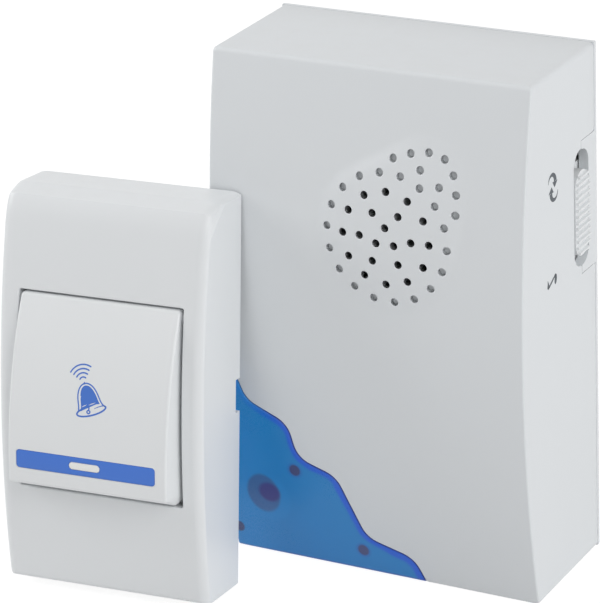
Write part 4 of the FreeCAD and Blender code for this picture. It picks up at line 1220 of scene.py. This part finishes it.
def noise(tree, where, size, detail, rough=0.5):
    """Noise with features of about a size in millimetres."""
    inputs = {"Vector": where, "Scale": 1 / (size * MM), "Detail": detail, "Roughness": rough}
    return place(tree, "TexNoise", inputs).outputs["Fac"]


def shader_group(name, inputs, outputs):
    """Empty node group with named sockets: the tree, what it is given, and its output node."""
    tree = bpy.data.node_groups.new(name, "ShaderNodeTree")
    kinds = {"vector": "NodeSocketVector", "value": "NodeSocketFloat", "colour": "NodeSocketColor"}
    for label, kind in inputs:
        tree.interface.new_socket(label, in_out="INPUT", socket_type=kinds[kind])
    for label, kind in outputs:
        tree.interface.new_socket(label, in_out="OUTPUT", socket_type=kinds[kind])
    return tree, tree.nodes.new("NodeGroupInput").outputs, tree.nodes.new("NodeGroupOutput")


def use_group(tree, group, inputs):
    """Places a group in a material with its own values."""
    return place(tree, "Group", inputs, node_tree=group).outputs


def moulding_group():
    """Moulded plastic: fine texture of the mould, slow waviness, and a cloudy change of tone."""
    tree, given, out = shader_group(
        "moulded_surface",
        (("Place", "vector"), ("Colour", "colour"), ("Grain", "value"), ("Waves", "value"),
         ("Clouds", "value")),
        (("Colour", "colour"), ("Height", "value"), ("Polish", "value")))
    where = given["Place"]
    grain = noise(tree, where, grain_size, 3.0, 0.65)
    waves = noise(tree, where, wave_size, 1.0, 0.4)
    clouds = noise(tree, where, cloud_size, 2.0, 0.55)
    height = maths(tree, "ADD", maths(tree, "MULTIPLY", grain, given["Grain"]),
                   maths(tree, "MULTIPLY", waves, given["Waves"]))
    tone = maths(tree, "MULTIPLY", maths(tree, "SUBTRACT", clouds, 0.5), given["Clouds"])
    changed = {"Color": given["Colour"], "Value": maths(tree, "ADD", 1.0, tone)}
    darker = place(tree, "HueSaturation", changed)
    polish = maths(tree, "ADD", maths(tree, "MULTIPLY", clouds, 0.6), maths(tree, "MULTIPLY", grain, 0.4))
    wired(tree, out, {"Colour": darker.outputs["Color"], "Height": height, "Polish": polish})
    return tree


def dust_group():
    """Faint dust: a patchy mask that is strong on faces that look up."""
    tree, given, out = shader_group(
        "settled_dust", (("Place", "vector"), ("Amount", "value")), (("Mask", "value"),))
    normal = place(tree, "NewGeometry").outputs["Normal"]
    patches = noise(tree, given["Place"], dust_size, 4.0, 0.6)
    up = stepped(tree, height_of(tree, normal), 0.4, 1.0)
    mask = maths(tree, "MULTIPLY", up, stepped(tree, patches, 0.35, 0.75))
    wired(tree, out, {"Mask": maths(tree, "MULTIPLY", mask, given["Amount"])})
    return tree


def metal_group():
    """Rolled or drawn metal: fine stretched scratches and a slow stain."""
    tree, given, out = shader_group(
        "worked_metal", (("Place", "vector"), ("Colour", "colour"), ("Stain", "value")),
        (("Colour", "colour"), ("Height", "value"), ("Polish", "value")))
    stretched = vector_maths(tree, "MULTIPLY", given["Place"], (1.0, 1.0, scratch_stretch))
    scratches = noise(tree, stretched, scratch_size, 4.0, 0.7)
    stain = noise(tree, given["Place"], stain_size, 3.0, 0.6)
    share = maths(tree, "MULTIPLY", stepped(tree, stain, 0.45, 0.75), given["Stain"])
    colour = mixed(tree, share, given["Colour"], stain_tint)
    polish = maths(tree, "ADD", maths(tree, "MULTIPLY", scratches, 0.5), maths(tree, "MULTIPLY", share, 0.5))
    wired(tree, out, {"Colour": colour, "Height": scratches, "Polish": polish})
    return tree


moulded = moulding_group()
dusted = dust_group()
metal_worked = metal_group()


def emptied(owner):
    """Node tree of a material or world, cleared of its first nodes."""
    owner.use_nodes = True
    owner.node_tree.nodes.clear()
    return owner.node_tree


def new_material(name):
    """Material with a Principled shader and Object coordinates: material, tree, shader and coordinates."""
    made = bpy.data.materials.new(name)
    tree = emptied(made)
    shader = place(tree, "BsdfPrincipled")
    place(tree, "OutputMaterial", {"Surface": shader.outputs[0]})
    where = place(tree, "TexCoord").outputs["Object"]
    return made, tree, shader, where


def bumped(tree, shader, height, depth):
    """Bump of a depth in millimetres on the shader's normal."""
    bump = place(tree, "Bump", {"Height": height, "Strength": 1.0, "Distance": depth * MM})
    wired(tree, shader, {"Normal": bump.outputs[0]})


def roughened(tree, shader, polish, smooth, rough):
    """Roughness that follows a polish value between two limits."""
    limits = {"From Min": 0.3, "From Max": 0.7, "To Min": smooth, "To Max": rough}
    wired(tree, shader, {"Roughness": place(tree, "MapRange", {"Value": polish, **limits}).outputs["Result"]})


def plastic(name, colour, smooth, rough, grain=0.5, clouds=0.02, dust=0.05, coat=0.0):
    """Moulded plastic with dust on the faces that look up."""
    made, tree, shader, where = new_material(name)
    body = use_group(tree, moulded, {"Place": where, "Colour": (*colour, 1), "Grain": grain,
                                     "Waves": 0.5, "Clouds": clouds})
    mask = use_group(tree, dusted, {"Place": where, "Amount": dust})["Mask"]
    tinted = mixed(tree, mask, body["Colour"], dust_tint)
    roughened(tree, shader, maths(tree, "ADD", body["Polish"], mask), smooth, rough)
    bumped(tree, shader, body["Height"], mould_depth)
    wired(tree, shader, {"Base Color": tinted, "Coat Weight": coat, "Coat Roughness": 0.2})
    return made


def metal(name, colour, smooth, rough, stain=0.3, depth=0.003):
    """Metal with scratches and a faint stain."""
    made, tree, shader, where = new_material(name)
    body = use_group(tree, metal_worked, {"Place": where, "Colour": (*colour, 1), "Stain": stain})
    wired(tree, shader, {"Base Color": body["Colour"], "Metallic": 1.0})
    roughened(tree, shader, body["Polish"], smooth, rough)
    bumped(tree, shader, body["Height"], depth)
    return made


def painted_spot(tree, where, colour, middle, reach, edge, share, tint):
    """Painted spot for something behind the lens: an oval spot in x and z, its edge soft about its reach."""
    spread = (1 / MM / reach[0], 0, 1 / MM / reach[1])
    offset = vector_maths(tree, "SUBTRACT", where, (middle[0] * MM, 0, middle[1] * MM))
    flat = vector_maths(tree, "MULTIPLY", offset, spread)
    away = place(tree, "VectorMath", {0: flat}, operation="LENGTH").outputs["Value"]
    inside = maths(tree, "MULTIPLY", stepped(tree, away, 1 + edge, 1 - edge), share)
    return mixed(tree, inside, colour, tint)


def lens_material():
    """Tinted clear plastic: vivid at its wavy rim, with painted shade in a dark line along the gap at the
    wavy edge and a darker strip along its foot, and painted spots for what stands behind it, dark where its
    pins and lamp socket are.
    """
    made, tree, shader, where = new_material("blue_lens")
    body = use_group(tree, moulded, {"Place": where, "Colour": (*lens_tint, 1), "Grain": 0.2,
                                     "Waves": 0.6, "Clouds": 0.08})
    rim = place(tree, "Attribute", attribute_name="wave_distance").outputs["Fac"]
    wander = maths(tree, "MULTIPLY", noise(tree, where, lens_wander_size, 1.0), lens_rim_wander)
    far = maths(tree, "SUBTRACT", rim, wander)
    foot = height_of(tree, where)
    # Painted shade: a dark line along the gap at the wavy edge
    line = maths(tree, "MULTIPLY", stepped(tree, rim, *lens_gap_shade_reach), lens_gap_shade_share)
    # Painted shade: a darker strip along the bottom edge
    low = maths(tree, "MULTIPLY", stepped(tree, foot, *lens_foot_shade_reach), lens_foot_shade_share)
    colour = mixed(tree, stepped(tree, far, *lens_rim_reach), body["Colour"], lens_rim_tint)
    colour = mixed(tree, line, colour, lens_gap_shade_tint)
    colour = mixed(tree, low, colour, lens_foot_shade_tint)
    # Painted spots for what stands behind the lens; the dark ones are painted shade of its pins and lamp
    # socket
    for spot in painted_lens_spots:
        colour = painted_spot(tree, where, colour, *spot)
    wired(tree, shader, {"Base Color": colour, "IOR": 1.49})
    roughened(tree, shader, body["Polish"], 0.24, 0.36)
    bumped(tree, shader, body["Height"], 0.003)
    return made


def board_material():
    """Circuit board: green mask over copper tracks laid in a square net, with small bright pads."""
    made, tree, shader, where = new_material("board_green")
    tracks = place(tree, "TexBrick",
                   {"Vector": where, "Scale": 1 / (track_size * MM), "Mortar Size": 0.09,
                    "Mortar Smooth": 0.1, "Brick Width": 1.7, "Row Height": 0.8}, offset=0.37, squash=1.0)
    spots = place(tree, "TexVoronoi", {"Vector": where, "Scale": 1 / (pad_size * MM), "Randomness": 0.75})
    pads = maths(tree, "SUBTRACT", 1.0, stepped(tree, spots.outputs["Distance"], 0.16, 0.2))
    cloud = noise(tree, where, board_cloud_size, 3.0)
    green = mixed(tree, stepped(tree, cloud, 0.3, 0.7), *board_tints)
    traced = mixed(tree, tracks.outputs["Fac"], green, track_tint)
    padded = mixed(tree, pads, traced, pad_tint)
    wired(tree, shader, {"Base Color": padded, "Metallic": pads, "Roughness": 0.35})
    bumped(tree, shader, maths(tree, "ADD", tracks.outputs["Fac"], pads), board_relief)
    return made


def cell_material():
    """Printed cell jacket: a dark lower part and a copper-coloured shoulder, with fine scuffs."""
    made, tree, shader, where = new_material("cell_jacket")
    z = maths(tree, "MULTIPLY", height_of(tree, where), 1 / MM)
    scuffs = noise(tree, where, scuff_size, 4.0, 0.7)
    dark = mixed(tree, stepped(tree, scuffs, 0.3, 0.8), *jacket_tints)
    shoulder = stepped(tree, z, *shoulder_step)
    colour = mixed(tree, shoulder, dark, shoulder_tint)
    wired(tree, shader, {"Base Color": colour, "Metallic": maths(tree, "MULTIPLY", shoulder, 0.7)})
    roughened(tree, shader, scuffs, 0.22, 0.4)
    bumped(tree, shader, scuffs, 0.004)
    return made


# Finishes of this doorbell
case_white = plastic("case_white", (0.76, 0.785, 0.805), 0.36, 0.46)
push_white = plastic("push_white", (0.80, 0.82, 0.835), 0.34, 0.44)
rocker_white = plastic("rocker_white", (0.82, 0.838, 0.85), 0.28, 0.38, grain=0.3)
knob_white = plastic("knob_white", (0.82, 0.838, 0.85), 0.34, 0.46)
window_milk = plastic("window_milk", (0.90, 0.90, 0.87), 0.2, 0.3, grain=0.1, dust=0.0)
strip_blue = plastic("strip_blue", (0.055, 0.187, 0.67), 0.3, 0.4, grain=0.3, clouds=0.06, dust=0.1)
print_blue = plastic("print_blue", (0.06, 0.178, 0.61), 0.45, 0.55, grain=0.3, clouds=0.06, dust=0.0)
print_grey = plastic("print_grey", (0.075, 0.09, 0.105), 0.45, 0.55, grain=0.3, dust=0.0)
switch_black = plastic("switch_black", (0.025, 0.026, 0.028), 0.4, 0.6)
lens_blue = lens_material()
board_green = board_material()
cell_printed = cell_material()
plated = metal("plated_steel", (0.62, 0.61, 0.58), 0.18, 0.38)
magnet_grey = metal("magnet_grey", (0.10, 0.10, 0.11), 0.5, 0.7, stain=0.5, depth=0.01)
cone_film = plastic("cone_film", (0.02, 0.02, 0.022), 0.3, 0.45, dust=0.5)
copper = metal("copper_wire", (0.72, 0.33, 0.16), 0.2, 0.35, stain=0.15)
lamp_clear = plastic("lamp_clear", (0.72, 0.78, 0.84), 0.08, 0.16, grain=0.1, dust=0.0, coat=0.5)

finished_nodes = (
    (case_white, "chime_rear_cover battery_door"),
    (push_white, "push_back_plate"),
    (knob_white, "slider_knob"),
    (plated, "speaker_frame speaker_yoke speaker_pole_plate slide_switch_body case_screws resonator_can"),
    (plated, "bridge_contact terminal_contacts battery_springs push_cell_contacts push_cell_spring"),
    (magnet_grey, "speaker_magnet"),
    (cone_film, "speaker_diaphragm"),
    (board_green, "chime_circuit_board switch_board push_circuit_board receiver_module"),
    (switch_black, "melody_chip chime_capacitors encoder_chip switch_lever"),
    (switch_black, "tact_switch_body tact_switch_plunger"),
    (copper, "tuning_coil antenna_wire"),
    (lamp_clear, "chime_led push_led"),
    (cell_printed, "aa_cells push_cell"),
)


def dress_nodes():
    """Gives every carried-over node its finish."""
    for finish, names in finished_nodes:
        for name in names.split():
            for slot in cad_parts[name].material_slots:
                slot.material = finish


def dress_receiver():
    """Case, lens and the signs on its right wall."""
    piece("chime_case", case_shell(), case_white, "receiver", ("chime_front_shell",))
    skin = lens_shell()
    lens = piece("chime_lens", skin, lens_blue, "receiver", ("corner_lens",))
    values = np.zeros(len(lens.data.vertices) * 3)
    lens.data.vertices.foreach_get("co", values)
    flat = values.reshape(-1, 3)[:, (0, 2)] / MM
    measure = lens.data.attributes.new("wave_distance", "FLOAT", "POINT")
    measure.data.foreach_set("value", path_distance(flat, wave))
    piece("arrows_sign", wall_print(arrow_nets(), arrows_middle), print_grey, "receiver")
    piece("note_sign", wall_print(note_nets(), note_middle), print_grey, "receiver")


def dress_push_unit():
    """Case, rocker, strip, window and the bell sign."""
    piece("push_case", leant(push_shell()), push_white, "push_unit", ("push_front_shell",))
    piece("rocker_cap", leant(rocker_shell()), rocker_white, "rocker", ("push_rocker",))
    piece("rocker_strip", leant(strip_skin()), strip_blue, "rocker", ("indicator_strip",))
    piece("rocker_window", leant(window_skin()), window_milk, "rocker", ("indicator_window",))
    piece("bell_sign", leant(bell_print()), print_blue, "rocker")


# Studio

floor_side = 6.0
floor_colour = (0.82, 0.82, 0.82, 1)
floor_shadow_share = 0.3
floor_glow = 1.27
world_light = 0.45
lamp_aim = (-10, -10, 45)

# Soft lights: one close on the left, a faint one above it, and two from the right,
# each with its place, its side in metres and its power in watts
softboxes = (
    ("near_left", (-470, -133, 320), 0.3, 1.02),
    ("high_left", (-538, -10, 1178), 0.7, 0.9),
    ("front_right", (877, -522, 762), 0.7, 4.3),
    ("low_right", (1228, -10, 219), 0.7, 3.2),
)


def seen_directly(tree):
    """1 for rays from the camera, from gloss and through clear material."""
    path = place(tree, "LightPath").outputs
    either = maths(tree, "MAXIMUM", path["Is Camera Ray"], path["Is Glossy Ray"])
    return maths(tree, "MAXIMUM", either, path["Is Transmission Ray"])


def make_floor():
    """Pale floor, white to the camera where no shadow falls."""
    half = floor_side / 2
    mesh = bpy.data.meshes.new("studio_floor")
    corners = [(-half, -half, 0), (half, -half, 0), (half, half, 0), (-half, half, 0)]
    mesh.from_pydata(corners, [], [(0, 1, 2, 3)])
    made = bpy.data.materials.new("studio_floor")
    tree = emptied(made)
    paint = place(tree, "BsdfDiffuse", {"Color": floor_colour})
    light = place(tree, "Emission", {"Color": (1, 1, 1, 1), "Strength": floor_glow})
    share = maths(tree, "MULTIPLY", seen_directly(tree), 1 - floor_shadow_share)
    both = place(tree, "MixShader", {0: share, 1: paint.outputs[0], 2: light.outputs[0]})
    place(tree, "OutputMaterial", {"Surface": both.outputs[0]})
    mesh.materials.append(made)
    floor = added("studio_floor", mesh)


def make_world():
    """Even pale light, seen as white."""
    world = bpy.data.worlds.new("studio")
    bpy.context.scene.world = world
    tree = emptied(world)
    ambient = place(tree, "Background", {"Color": (1, 1, 1, 1), "Strength": world_light})
    white = place(tree, "Background", {"Color": (1, 1, 1, 1), "Strength": 1.0})
    inputs = {0: seen_directly(tree), 1: ambient.outputs[0], 2: white.outputs[0]}
    both = place(tree, "MixShader", inputs)
    place(tree, "OutputWorld", {"Surface": both.outputs[0]})


def softbox(name, place_mm, size, power):
    """Square soft light at a place, turned to the doorbell."""
    data = bpy.data.lights.new(name, "AREA")
    data.size = size
    data.energy = power
    lamp = added(name, data)
    start = np.array(place_mm) * MM
    heading = np.array(lamp_aim) * MM - start
    lamp.location = start
    lamp.rotation_euler = (pi - atan2(hypot(heading[0], heading[1]), heading[2]), 0,
                           atan2(heading[1], heading[0]) - pi / 2)


def make_camera():
    """Camera at the photograph's angle: turned, dipped and rolled about its own place."""
    data = bpy.data.cameras.new("photo_camera")
    data.lens = camera_lens
    data.sensor_width = sensor_side
    data.clip_end = 20
    camera = added("photo_camera", data)
    turn = Matrix.Rotation(radians(camera_turn), 4, "Z") @ Matrix.Rotation(radians(camera_dip), 4, "X")
    roll = Matrix.Rotation(radians(camera_roll), 4, "Y") @ Matrix.Rotation(pi / 2, 4, "X")
    camera.matrix_world = Matrix.Translation(np.array(camera_place) * MM) @ turn @ roll
    bpy.context.scene.camera = camera


make_camera()
make_world()
make_floor()
for light in softboxes:
    softbox(*light)
dress_nodes()
dress_receiver()
dress_push_unit()
bpy.context.scene.view_settings.view_transform = "Standard"
